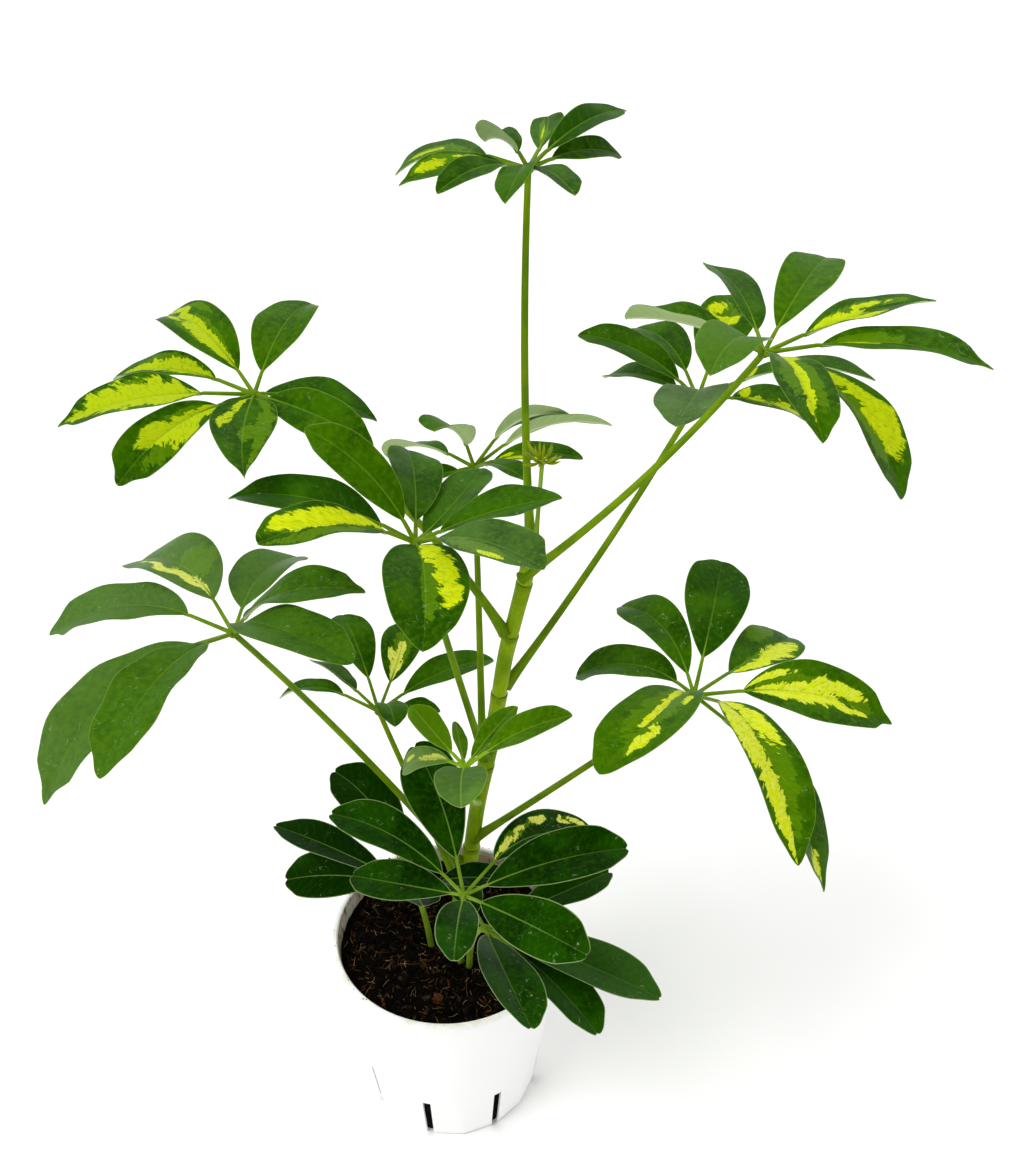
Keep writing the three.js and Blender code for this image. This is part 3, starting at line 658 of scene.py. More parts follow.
            6: [(0.55, -0.2, 0.3, 0.4)],
            8: [(0.4, 0.0, 0.4, 0.5), (0.72, -0.2, 0.14, 0.25)],
        },
    },
    {
        "name": "young_frond", "node": "frond_young", "slot": "young_leaf", "look": "young",
        "seed": 233,
        "stalk": [(16, 3, 205), (13, -24, 226), (13, -40, 269)],
        "wave": 0.5, "cream": 0.6,
        "special": {1: {"bright": 1.0}, 2: {"cream": 0.8, "wax": 0.2}, 6: {"bright": -0.5, "wax": 0.1}},
        "leaflets": [
            (137, 23, 4, -7, 8.8, 28, 15.3, -9, 0.5, 0.8),
            (147, -6, 60, 8, 8, 33, 12, 30, 0.5, 0.8),
            (101, 0, 9, -4, 4, 28, 8, -35, 0.6, 0.8),
            (51, 26, 18, -1, 4.4, 32, 14, 19, 0.5, 0.8),
            (10, 39, 26, -9, 11.8, 41, 19.5, 3, 0.62, 0.8),
            (266, 39, 45, 8, 6.9, 34, 22.5, -3, 0.45, 0.5),
        ],
        "yellow": {
            2: [(0.35, 0.0, 0.2, 0.3), (0.2, 0.35, 0.14, 0.2), (0.72, 0.42, 0.1, 0.14)],
        },
        "light": {
            1: [(0.5, 0.0, 0.6, 1.0)],
            2: [(0.5, 0.0, 0.5, 0.9)],
        },
    },
    {
        "name": "low_front_frond", "node": "frond_low_front", "slot": "dark_leaf", "look": "dark",
        "seed": 377, "notched": True,
        "stalk": [(6, -9, 83), (8, -22, 150), (11, -45, 193)],
        "wave": 0.7, "cream": 1.0,
        "leaflets": [
            (105, 34, 26, 15, 17, 62, 29.3, 28, 0.5, 0.8),
            (149, 35, 40, 15, 14, 61, 26, -2, 0.5, 0.8),
            (154, -15, 1, 0, 6.8, 57, 24, 8, 0.5, 0.8),
            (266, 31, 18, 4, 7.2, 54, 19.5, 3, 0.5, 0.65),
            (11, 24, 25, -4, 11.2, 68, 30, -6, 0.5, 0.8),
            (316, 21, 19, 7, 11.8, 62.5, 27.3, -18, 0.5, 0.8),
            (52.5, 7.5, 47.8, -52, 22.6, 65.8, 31, 10, 0.53, 0.8),
        ],
        "yellow": {
            7: [(0.14, -0.35, 0.14, 0.25), (0.33, -0.55, 0.06, 0.12), (0.5, -0.6, 0.06, 0.16),
                (0.78, -0.65, 0.09, 0.16), (0.7, -0.5, 0.06, 0.1)],
        },
        "light": {
            7: [(0.25, -0.5, 0.2, 0.2)],
        },
    },
    {
        "name": "low_right_frond", "node": "frond_low_right", "slot": "dark_leaf", "look": "dark",
        "seed": 610, "notched": True,
        "stalk": [(11, -12, 83), (10, -22, 140), (20, -40, 164)],
        "wave": 0.7, "bright": 0.3,
        "special": {3: {"bright": 0.8, "wax": 0.03}},
        "leaflets": [
            (283, 28, 30, 9, 8.4, 68, 29, 24, 0.5, 0.8),
            (315, 7, 20, -10, 18, 60, 31, 25, 0.55, 0.8),
            (334, 6, 15, 0, 10.7, 79, 32.5, 13, 0.6, 0.8),
            (27, 5, 8, 3, 18, 52, 25, 7, 0.5, 0.8),
            (112, -6, 20, 0, 11, 32, 18, -10, 0.6, 0.8),
        ],
    },
    {
        "name": "low_left_frond", "node": "frond_low_left", "slot": "dark_leaf", "look": "dark",
        "seed": 987, "notched": True,
        "stalk": [(-8, -2, 83), (-10, -4, 135), (-16, -10, 158)],
        "wave": 0.7, "bright": -0.6,
        "leaflets": [
            (119, 39, 38, 26, 17.4, 58, 28.4, 8, 0.5, 0.8),
            (161, 20, 20, -4, 16, 62, 25, -12, 0.6, 0.8),
            (167, 4, 27, 7, 14, 54, 25.4, 26, 0.5, 0.8),
            (285, 33, 6, 2, 8.8, 21.4, 20.3, 13, 0.5, 0.8),
            (350, 30, 40, 0, 14, 40, 20, 10, 0.6, 0.8),
        ],
    },
]

# Leaf materials. Umbrella plant leaves are thick, with a waxy cuticle: a clear, slightly broad
# shine over a deep green, and a paler dull underside.

leafLooks = {
    "upper": {"deep": "#1E4600", "mid": "#335F00", "bright": "#537C04", "rib": "#6C9428",
              "ribShow": 0.5, "veinShow": 0.05, "margin": "#7A9C44", "marginWidth": 0.42,
              "marginShow": 0.5, "drops": 0.3, "roughness": 0.40, "shine": "#B8D850"},
    "dark": {"deep": "#092B00", "mid": "#184400", "bright": "#2E5E02", "rib": "#7FA64A",
             "ribShow": 0.7, "veinShow": 0.02, "margin": "#A5BC7E", "marginWidth": 0.6,
             "marginShow": 0.6, "drops": 0.4, "roughness": 0.40, "shine": "#B8D850"},
    "young": {"deep": "#3A6600", "mid": "#528004", "bright": "#74A206", "rib": "#94B840",
              "ribShow": 0.5, "veinShow": 0.06, "margin": "#A6C464", "marginWidth": 0.4,
              "marginShow": 0.55, "drops": 0.2, "roughness": 0.44, "shine": "#C0D850"},
}
leafSkin = {
    # where each pattern runs: with the blade, or drawn out along its side veins. Then its size
    # in mm, detail and roughness
    "patterns": {
        "broad": ("blade", 7.69, 2.0, 0.5),    # bends the outlines of patches, gathers the drops
        "frayed": ("veins", 1.25, 4.0, 0.65),  # frays those outlines
        "cloud": ("blade", 20, 3.0, 0.5),
        "mottle": ("blade", 2.38, 5.0, 0.6),
        "flecks": ("veins", 1.11, 3.0, 0.6),   # green left in the yellow
        "rings": ("blade", 4.55, 1.5, 0.5),    # outlines of dried drops
        "gaps": ("blade", 1.43, 3.0, 0.5),     # where those are broken
        "specks": ("blade", 0.476, 2.0, 0.5),
    },
    # cells between the side veins, and between finer ones, that tear a patch's outline: mm, depth
    "cells": [(3.33, 1.1), (1.053, 0.7)],
    "tear": 1.6, "fray": 0.7,
    "shrink": -2.05,         # brings the torn outline back to the patch's own
    "greenRim": (0.3, 1.0),  # mm from the edge where yellow fades in
    "dull": "#ACC010", "bright": "#CDDA0A", "cream": "#E2E268", "light": "#5A8206",
    "lightShow": 0.8, "haloShow": 0.5, "fleckShow": 0.35,
    "veinSlant": 0.75,       # mm forward for each mm outward
    "veinSpacing": 4.6,      # mm
    "ribLength": 70.0, "ribHalf": (0.36, 0.14),    # mm, at its foot and out there
    "toneReach": 60.0,       # mm, how far apart in the patterns a leaflet's tone sets it
    # the colour of dried drops, then the greyish colour of the painted sheen, a reflection painted into
    # some leaves
    "drops": "#B4C79E", "wax": "#9AA88C",
}


# Reads place, marks, paint and wear, three numbers each.
def readNotes(tree):
    numbers = []
    for key in noteNames:
        note = addNode(tree, "Attribute", output="Vector", attribute_name=key)
        numbers.extend(addNode(tree, "SeparateXYZ", [note]).node.outputs)
    return numbers


# Where the patterns of a leaf run, in mm, and its distances from the midrib and along a vein.
def leafPlaces(tree, along, across, tone):
    arm = addNode(tree, "Math", [across], operation="ABSOLUTE")
    vein = addNode(tree, "Math", [arm, -leafSkin["veinSlant"], along], operation="MULTIPLY_ADD")
    slow = addNode(tree, "Math", [across, 0.5], operation="MULTIPLY")
    deep = addNode(tree, "Math", [tone, leafSkin["toneReach"]], operation="MULTIPLY")
    places = {
        "blade": addNode(tree, "CombineXYZ", [along, across, deep]),
        "veins": addNode(tree, "CombineXYZ", [vein, slow, deep]),
    }
    return places, arm, vein


# Lines along the side veins, which a cloud makes wander by a few mm.
def veinLines(tree, vein, cloud, wander, half, show):
    line = addNode(tree, "Math", [cloud, wander, vein], operation="MULTIPLY_ADD")
    line = addNode(tree, "Math", [line, leafSkin["veinSpacing"]], operation="DIVIDE")
    line = addNode(tree, "Math", [line, 0.5], operation="PINGPONG")
    return addNode(tree, "MapRange", [line, 0.0, half, show, 0.0], **soft)


# Patches of missing green, torn along the side veins, with light green around the yellow.
def tornPatches(tree, grain, veinPlace, edge, yellowField, lightField):
    torn = [grain["broad"], leafSkin["tear"], leafSkin["shrink"]]
    torn = addNode(tree, "Math", torn, operation="MULTIPLY_ADD")
    for size, depth in leafSkin["cells"]:
        cell = addNode(tree, "TexVoronoi", {"Vector": veinPlace, "Scale": 1 / size}, 1)
        torn = addNode(tree, "Math", [cell, depth, torn], operation="MULTIPLY_ADD")
    torn = addNode(tree, "Math", [grain["frayed"], leafSkin["fray"], torn], operation="MULTIPLY_ADD")
    inside = addNode(tree, "MapRange", [edge, *leafSkin["greenRim"]], **soft)
    hasYellow, hasLight = (
        addNode(tree, "MapRange", [field, noPatch + 0.02, noPatch + 0.4], **soft)
        for field in (yellowField, lightField))
    yellow = addNode(tree, "Math", [yellowField, torn], operation="ADD")
    halo = addNode(tree, "Math", [grain["frayed"], 0.35, yellow], operation="MULTIPLY_ADD")
    halo = addNode(tree, "MapRange", [halo, 0.0, 0.1, 0.0, leafSkin["haloShow"]], **soft)
    yellow = addNode(tree, "MapRange", [yellow, -0.06, 0.06], **soft)
    for share in (inside, hasYellow):
        halo = addNode(tree, "Math", [halo, share], operation="MULTIPLY")
        yellow = addNode(tree, "Math", [yellow, share], operation="MULTIPLY")
    light = addNode(tree, "Math", [torn, 0.9, lightField], operation="MULTIPLY_ADD")
    light = addNode(tree, "MapRange", [light, -0.1, 0.12, 0.0, leafSkin["lightShow"]], **soft)
    faded = addNode(tree, "MapRange", [grain["frayed"], 0.35, 0.6, 0.6, 1.0])
    for share in (hasLight, faded):
        light = addNode(tree, "Math", [light, share], operation="MULTIPLY")
    return yellow, addNode(tree, "Math", [light, halo], operation="MAXIMUM")


# The green itself, cloudy over the blade and lighter in some leaves than in others.
def leafGreen(tree, look, grain, brightness, light, lines):
    green = srgb(look["deep"])
    for pattern, lift, start, end, most, colour in (
            ("cloud", 0.3, 0.38, 0.66, 1.0, "mid"), ("mottle", 0.2, 0.4, 0.8, 0.5, "bright")):
        share = addNode(tree, "Math", [brightness, lift, grain[pattern]], operation="MULTIPLY_ADD")
        share = addNode(tree, "MapRange", [share, start, end, 0.0, most], **soft)
        green = addNode(tree, "Mix", {0: share, 6: green, 7: srgb(look[colour])}, **blend)
    lines = addNode(tree, "Math", [lines, look["veinShow"]], operation="MULTIPLY")
    for share, colour in ((light, leafSkin["light"]), (lines, look["rib"])):
        green = addNode(tree, "Mix", {0: share, 6: green, 7: srgb(colour)}, **blend)
    return green


# The yellow, from dull over bright to cream, with green left in it in flecks.
def leafYellow(tree, grain, cream):
    richness = addNode(tree, "Math", [grain["mottle"], 1.0, -0.5], operation="MULTIPLY_ADD")
    richness = addNode(tree, "Math", [richness, cream], operation="ADD")
    toBright = addNode(tree, "MapRange", [richness, 0.0, 0.5])
    toCream = addNode(tree, "MapRange", [richness, 0.5, 1.0])
    flecks = [grain["flecks"], 0.5, 0.66, 0.0, leafSkin["fleckShow"]]
    flecks = addNode(tree, "MapRange", flecks, **soft)
    yellow = srgb(leafSkin["dull"])
    for share, colour in ((toBright, "bright"), (toCream, "cream"), (flecks, "light")):
        yellow = addNode(tree, "Mix", {0: share, 6: yellow, 7: srgb(leafSkin[colour])}, **blend)
    return yellow


# Dried water drops: broken pale rings and specks, in clusters and more of them further out.
def driedDrops(tree, look, grain, along, drops):
    ring = addNode(tree, "Math", [grain["rings"], 0.56], operation="SUBTRACT")
    ring = addNode(tree, "Math", [ring], operation="ABSOLUTE")
    ring = addNode(tree, "MapRange", [ring, 0.004, 0.016, 1.0, 0.0], **soft)
    broken = addNode(tree, "MapRange", [grain["gaps"], 0.46, 0.6], **soft)
    ring = addNode(tree, "Math", [ring, broken], operation="MULTIPLY")
    specks = addNode(tree, "MapRange", [grain["specks"], 0.72, 0.80], **soft)
    dried = addNode(tree, "Math", [ring, specks], operation="MAXIMUM")
    cluster = addNode(tree, "MapRange", [grain["broad"], 0.5, 0.6], **soft)
    outward = addNode(tree, "MapRange", [along, 12.0, 50.0, 0.35, 1.0])
    for share in (cluster, drops, outward, look["drops"]):
        dried = addNode(tree, "Math", [dried, share], operation="MULTIPLY")
    return dried


def makeLeafTop(name, look):
    # Living leaf with a waxy cuticle: deep green under a clear, slightly broad shine.
    material, tree = startMaterial(name)
    notes = readNotes(tree)
    along, across, edge, yellowField, lightField, tone, cream, brightness, drops, wax = notes[:10]
    places, arm, vein = leafPlaces(tree, along, across, tone)
    grain = {}
    for key, (place, size, detail, roughness) in leafSkin["patterns"].items():
        inputs = {"Vector": places[place], "Scale": 1 / size, "Detail": detail, "Roughness": roughness}
        grain[key] = addNode(tree, "TexNoise", inputs)
    lines = veinLines(tree, vein, grain["cloud"], 9.0, 0.18, 1.0)
    yellow, light = tornPatches(tree, grain, places["veins"], edge, yellowField, lightField)
    green = leafGreen(tree, look, grain, brightness, light, lines)
    pale = leafYellow(tree, grain, cream)
    skin = addNode(tree, "Mix", {0: yellow, 6: green, 7: pale}, **blend)

    # midrib, narrower and fainter towards the tip, and the pale margin
    ribHalf = [along, 0.0, leafSkin["ribLength"], *leafSkin["ribHalf"]]
    ribHalf = addNode(tree, "MapRange", ribHalf)
    rib = addNode(tree, "Math", [arm, ribHalf], operation="DIVIDE")
    rib = addNode(tree, "MapRange", [rib, 0.5, 1.7, 1.0, 0.0], **soft)
    fade = addNode(tree, "MapRange", [along, 8.0, 55.0, look["ribShow"], 0.3 * look["ribShow"]])
    rib = addNode(tree, "Math", [rib, fade], operation="MULTIPLY")
    width = look["marginWidth"]
    margin = addNode(tree, "MapRange", [edge, 0.4 * width, width, look["marginShow"], 0.0], **soft)

    # drops, and a painted sheen on some leaves: greyish colour standing in for their reflection of the
    # bright room
    dried = driedDrops(tree, look, grain, along, drops)
    sheenShare = addNode(tree, "MapRange", [grain["cloud"], 0.35, 0.6, 0.7, 1.15])
    sheenShare = addNode(tree, "Math", [sheenShare, wax], operation="MULTIPLY")
    layers = [(rib, look["rib"]), (margin, look["margin"]),
              (dried, leafSkin["drops"]), (sheenShare, leafSkin["wax"])]
    for share, colour in layers:
        skin = addNode(tree, "Mix", {0: share, 6: skin, 7: srgb(colour)}, **blend)

    gloss = look["roughness"] - 0.07
    for pattern, rougher in ((grain["mottle"], 0.14), (dried, 0.3)):
        gloss = addNode(tree, "Math", [pattern, rougher, gloss], operation="MULTIPLY_ADD")
    height = addNode(tree, "Math", [lines, -0.18, grain["mottle"]], operation="MULTIPLY_ADD")
    relief = addNode(tree, "Bump", {"Height": height, "Strength": 0.3, "Distance": 0.00025})
    finishMaterial(tree, {"Base Color": skin, "Roughness": gloss, "Normal": relief, "IOR": 1.45,
                          "Specular IOR Level": 0.04, "Specular Tint": srgb(look["shine"])})
    return material


underside = {
    "cloud": 8.33,           # mm
    "yellow": "#C0CC74",
    # dark and light of the skin, and its ribs
    "upper": ("pale leaf underside", ("#98B46C", "#B2C88C", "#CAD9AC")),
    "dark": ("dark leaf underside", ("#54763A", "#6C8E4C", "#94AE70")),
    "young": ("young leaf underside", ("#86AA40", "#9CBE5A", "#BAD082")),
}


def makeLeafUnder(name, colours):
    # Matte skin of the underside: light grey-green, with raised paler ribs.
    material, tree = startMaterial(name)
    along, across, _, yellowField, _, tone = readNotes(tree)[:6]
    places, arm, vein = leafPlaces(tree, along, across, tone)
    scale = 1 / underside["cloud"]
    cloud = addNode(tree, "TexNoise", {"Vector": places["blade"], "Scale": scale, "Detail": 4.0})
    lines = veinLines(tree, vein, cloud, 5.0, 0.15, 0.2)
    middle = addNode(tree, "MapRange", [arm, 0.4, 1.0, 0.9, 0.0], **soft)
    lines = addNode(tree, "Math", [lines, middle], operation="MAXIMUM")
    yellow = addNode(tree, "MapRange", [yellowField, -0.2, 0.3, 0.0, 0.6], **soft)
    skin = srgb(colours[0])
    for share, colour in ((cloud, colours[1]), (yellow, underside["yellow"]), (lines, colours[2])):
        skin = addNode(tree, "Mix", {0: share, 6: skin, 7: srgb(colour)}, **blend)
    relief = addNode(tree, "Bump", {"Height": lines, "Strength": 0.4, "Distance": 0.0003})
    finishMaterial(tree, {"Base Color": skin, "Normal": relief, "Roughness": 0.62, "IOR": 1.42,
                          "Specular IOR Level": 0.2})
    return material


stemSkin = {
    "streak": 1.11, "cloud": 16.7, "blot": 3.125,        # mm
    "stretch": 0.08,         # streaks run lengthwise
    # dark and light of the skin, and its streaks
    "upper": ("green leaf stalk", ("#597C0A", "#74930E", "#42620A")),
    "dark": ("light green leaf stalk", ("#67881A", "#84A030", "#4C6C12")),
    "young": ("young leaf stalk", ("#7FA812", "#98BE2A", "#5F900C")),
    "bud": ("folded young leaflets", ("#76880E", "#97A61E", "#66600E")),
    "trunk": ("green bark", ("#76960C", "#93B016", "#587A08")),
    "patch": "#4E6A08", "slit": "#37360A", "oldWood": "#6A5A1C",
    "oldHeight": (160.0, 40.0),            # mm up the trunk where old wood starts and is full
    "shine": "#C8DC70",
}


# On the trunk: a shadowed patch just under each scar, a dark slit along it, and brown streaks in
# the old wood low down. Each is its share and its colour.
def scarLayers(tree, along, scar, spot, streak):
    scale = 1 / stemSkin["blot"]
    blot = addNode(tree, "TexNoise", {"Vector": spot, "Scale": scale, "Detail": 3.0})
    reach = addNode(tree, "Math", [blot, 9.0, scar], operation="MULTIPLY_ADD")
    patch = addNode(tree, "MapRange", [reach, 0.2, 3.0, 0.0, 0.5], **soft)
    below = addNode(tree, "MapRange", [scar, 0.0, 0.4, 1.0, 0.0])
    slit = addNode(tree, "Math", [scar, -0.15], operation="ADD")
    slit = addNode(tree, "Math", [slit], operation="ABSOLUTE")
    slit = addNode(tree, "MapRange", [slit, 0.1, 0.45, 0.7, 0.0], **soft)
    broken = addNode(tree, "MapRange", [blot, 0.47, 0.55], **soft)
    brown = addNode(tree, "MapRange", [streak, 0.6, 0.72, 0.0, 0.35], **soft)
    low = addNode(tree, "MapRange", [along, *stemSkin["oldHeight"]])
    layers = []
    for mark, where, colour in (
            (patch, below, "patch"), (slit, broken, "slit"), (brown, low, "oldWood")):
        share = addNode(tree, "Math", [mark, where], operation="MULTIPLY")
        layers.append((share, stemSkin[colour]))
    return layers


def makeStalkSkin(name, colours, scarred=False):
    # Green bark and leaf stalks: smooth living skin, streaked lengthwise, brown where it scarred.
    material, tree = startMaterial(name)
    along, around, scar, _, _, tone = readNotes(tree)[:6]
    deep = addNode(tree, "Math", [tone, leafSkin["toneReach"]], operation="MULTIPLY")
    slow = addNode(tree, "Math", [along, stemSkin["stretch"]], operation="MULTIPLY")
    spot = addNode(tree, "CombineXYZ", [along, around, deep])
    drawn = addNode(tree, "CombineXYZ", [slow, around, deep])
    scale = 1 / stemSkin["streak"]
    streak = addNode(tree, "TexNoise", {"Vector": drawn, "Scale": scale, "Detail": 4.0, "Roughness": 0.6})
    scale = 1 / stemSkin["cloud"]
    cloud = addNode(tree, "TexNoise", {"Vector": spot, "Scale": scale, "Detail": 3.0})
    cloudy = addNode(tree, "MapRange", [cloud, 0.35, 0.65], **soft)
    streaky = addNode(tree, "MapRange", [streak, 0.48, 0.72, 0.0, 0.4], **soft)
    layers = [(cloudy, colours[1]), (streaky, colours[2])]
    if scarred:
        layers += scarLayers(tree, along, scar, spot, streak)
    skin = srgb(colours[0])
    for share, colour in layers:
        skin = addNode(tree, "Mix", {0: share, 6: skin, 7: srgb(colour)}, **blend)
    relief = addNode(tree, "Bump", {"Height": streak, "Strength": 0.3, "Distance": 0.0003})
    finishMaterial(tree, {"Base Color": skin, "Normal": relief, "Roughness": 0.44, "IOR": 1.42,
                          "Specular IOR Level": 0.15, "Specular Tint": srgb(stemSkin["shine"])})
    return material


leafTop = {key: makeLeafTop(f"waxy {key} leaf", look) for key, look in leafLooks.items()}
leafUnder = {key: makeLeafUnder(*underside[key]) for key in leafLooks}
stalkSkin = {key: makeStalkSkin(*stemSkin[key]) for key in leafLooks}
print("leaf and stalk materials")

stalk = {
    "footRadius": 3.1, "radius": 1.75, "hubRadius": 1.25, "knob": 2.3,
    "footTaper": 14,         # how fast the foot narrows
    "rows": 50, "crowding": 1.3,           # rows gather at the foot
}


def makeFrond(frond):
    shape = newShape()
    draw = np.random.default_rng(frond["seed"])
    path = bezier(frond["stalk"], stalk["rows"], stalk["crowding"])
    t = np.linspace(0, 1, stalk["rows"]) ** stalk["crowding"]
    flare = (stalk["footRadius"] - stalk["radius"]) * np.exp(-t * stalk["footTaper"])
    radii = stalk["radius"] + (stalk["hubRadius"] - stalk["radius"]) * t + flare
    addTube(shape, path, radii, 16, onStalk, draw.random())
    hub = np.array(frond["stalk"][2], float)
    addKnob(shape, hub, stalk["knob"], 9, onStalk, 0.5)
    for order, row in enumerate(frond["leaflets"]):
        addLeaflet(shape, hub, row, order, frond, draw.random())
    look = frond["look"]
    skins = [leafTop[look], leafUnder[look], stalkSkin[look]]
    makePiece(frond["name"], shape, skins, [frond["node"]])


for frond in fronds:
    makeFrond(frond)
print(f"{len(fronds)} fronds")

# Trunk

trunk = {
    "path": [(3, 5, 83), (4, 5, 116), (11, 5, 156), (16, 5, 198), (22, 5, 235), (26, 5, 262),
             (30, 5, 293), (35, 5, 318), (39, 5, 338), (41, 5, 358)],
    "radius": 4.2, "tipRadius": 3.2,
    "scars": [152, 172, 228, 240, 272, 306, 334],
    "collar": 0.45,          # the leaf foot wraps the trunk below its scar
    "collarReach": 9,
    "rows": 190,
}


# A smooth curve through all the points, with each stretch between two cut into the same number.
def smoothPath(points, each):
    p = np.asarray(points, float)
    p = np.vstack([2 * p[0] - p[1], p, 2 * p[-1] - p[-2]])
    rows = []
    for k in range(1, len(p) - 2):
        a, b, c, d = p[k - 1:k + 3]
        for t in np.arange(each) / each:
            rows.append(0.5 * (2 * b + (c - a) * t + (2 * a - 5 * b + 4 * c - d) * t ** 2
                               + (3 * b - a - 3 * c + d) * t ** 3))
    rows.append(p[-2])
    return np.array(rows)


def makeTrunk():
    shape = newShape()
    coarse = smoothPath(trunk["path"], 20)
    scars = np.array(trunk["scars"], float)
    # rows close together at each scar, so that its step is sharp
    steps = [scars + gap for gap in (-0.6, -0.05, 0.25, 0.6)]
    height = np.sort(np.concatenate([np.linspace(coarse[0][2], coarse[-1][2], trunk["rows"]), *steps]))
    path = np.stack([np.interp(height, coarse[:, 2], coarse[:, k]) for k in range(3)], axis=-1)
    share = (height - height[0]) / (height[-1] - height[0])
    radii = trunk["radius"] + (trunk["tipRadius"] - trunk["radius"]) * share
    below = scars[None, :] - height[:, None]
    collar = np.where(below >= 0, np.exp(-below / trunk["collarReach"]), 0).max(axis=1)
    radii = radii + trunk["collar"] * collar
    addTube(shape, path, radii, 32, 0, 0.35, trunk["scars"])
    greenBark = makeStalkSkin(*stemSkin["trunk"], scarred=True)
    makePiece("trunk_bark", shape, [greenBark], ["trunk"])


makeTrunk()
print("trunk")

# The unopened shoot: a thin stalk and a spray of narrow folded leaflets

shoot = {
    "foot": (43, 4, 358.4), "hub": (45, 1, 396), "radius": 0.9, "knob": 1.5, "seed": 19,
    "rows": 14,
    "raise": 34,             # degrees that each leaflet turns up by its tip
    "stray": 20,             # degrees that it strays sideways
    "leastHalf": 0.28,
    # turn, rise, length, half width of each leaflet
    "sprays": [(0, 12, 9, 0.8), (22, 38, 8, 0.6), (48, 30, 9, 0.8), (75, 62, 8, 0.7), (95, 15, 7, 0.7),
               (118, 52, 9, 0.6), (140, 35, 11, 0.8), (160, 12, 10, 0.8), (185, 28, 11, 0.8),
               (200, -4, 9, 0.9), (230, 30, 8, 0.8), (250, 5, 6, 0.7), (275, 22, 6, 0.7),
               (300, 45, 7, 0.6), (320, 25, 8, 0.8), (340, 0, 8, 0.7), (20, 5, 8, 0.7),
               (170, 55, 8, 0.6)],
}


def makeShoot():
    shape = newShape()
    draw = np.random.default_rng(shoot["seed"])
    rows, least = shoot["rows"], shoot["leastHalf"]
    hub = np.array(shoot["hub"], float)
    run = np.linspace(shoot["foot"], hub, rows)
    addTube(shape, run, shoot["radius"] + 0.5 * np.exp(-np.arange(rows) / 1.5), 12, 0, 0.2)
    addKnob(shape, hub, shoot["knob"], 8, 1, 0.6)
    t = np.linspace(0, 1, rows)
    for k, (turn, rise, length, half) in enumerate(shoot["sprays"]):
        bow = heading(turn + shoot["stray"] * t * draw.normal(), rise + shoot["raise"] * t ** 2)
        run = hub + np.vstack([np.zeros(3), np.cumsum(bow[1:] * length / (rows - 1), axis=0)])
        thick = least + (half - least) * np.sin(np.pi * np.clip(t * 1.25 - 0.25, 0, 1)) ** 0.9
        addTube(shape, run, thick * (1 - 0.75 * t ** 5), 8, 1, 0.05 * k)
    skins = [stalkSkin["dark"], makeStalkSkin(*stemSkin["bud"])]
    makePiece("shoot", shape, skins, ["shoot_tip"])


makeShoot()
print("shoot")

# Pot: thin moulded plastic with a rolled lip, drain slits and a foot pressed flat between them

pot = {
    "height": 115, "baseRadius": 46, "lipRadius": 58.4, "lipFoot": 111, "wall": 1.4,
    "floorMiddle": 20,       # radius of the innermost ring of the floor
    "slits": 8, "firstSlit": -104, "slitWidth": 4, "slitTop": 34, "slitInner": 41,
    "flatHeight": 50,        # the foot's flats fade out here
    "wobble": 0.12,          # mm out of round
    "columns": 14,           # between two slits
    "colour": "#FDFDFC",
    # areas that dirt and the beige inner tint lie in, mm over which each fades in: up the lip, and in
    # from the wall and up from the soil
    "rim": (110.0, 114.8), "inside": (57.4, 57.1), "aboveSoil": (103.0, 103.6),
    # patterns of the dirt and the tint: size in mm, detail, roughness
    "patterns": {"broad": (27.8, 5.0, 0.65), "crumbs": (2.63, 3.0, 0.5), "smears": (3.33, 3.0, 0.5)},
    # layers of dirt, and a beige tint over the inner wall above the soil: pattern, where it starts
    # and is full, least and most, where it lies, colour
    "dirtAndTint": {
        "stain": ("broad", 0.44, 0.64, 0.0, 0.5, ["rim"], "#C9BC8E"),
        "crumbs": ("crumbs", 0.62, 0.70, 0.0, 0.7, ["stained", "rim"], "#5E4A2A"),
        # the inner wall above the soil turns beige everywhere, half way or more
        "insideTint": ("broad", 0.36, 0.6, 0.5, 0.95, ["inside", "aboveSoil"], "#A8916A"),
        "grime": ("smears", 0.52, 0.62, 0.0, 0.75, ["inside", "aboveSoil"], "#4A3A1E"),
    },
}


def potWall(z):
    return pot["baseRadius"] + (pot["lipRadius"] - pot["baseRadius"]) * z / pot["lipFoot"]


# Radius and height of each ring, outside and inside, from the middle of the floor up to the lip.
def potRows():
    outer = [(pot["floorMiddle"], 0), (pot["slitInner"], 0), (43.8, 0), (45.2, 0.4), (46.0, 1.6)]
    inner = [(pot["floorMiddle"], 2), (pot["slitInner"], 2), (43.2, 2), (44.1, 2.2), (44.6, 2.8)]
    for z in (5, 9, 14, 20, 27, pot["slitTop"], 38, 46, 56, 68, 80, 92, 102, 108, 110.4):
        outer.append((potWall(z), z))
        inner.append((potWall(z) - pot["wall"], z))
    outer += [(58.8, 110.9), (59.7, 111.2), (60, 111.9), (60, 113.7), (59.6, 114.6), (58.9, 115)]
    inner += [(57.1, 111.0), (57.1, 111.6), (57.1, 112.3), (57.1, 113.6), (57.3, 114.4), (57.9, 115)]
    return outer, inner


def potRing(radius, z, angles, flat):
    outward = radius > pot["floorMiddle"]
    press = max(0, 1 - z / pot["flatHeight"]) * outward
    wobble = pot["wobble"] * np.sin(angles * 3 + z * 0.03) * outward
    r = radius * (1 + (flat - 1) * press) + wobble
    return np.stack([r * np.cos(angles), r * np.sin(angles), np.full(len(angles), z)], -1)


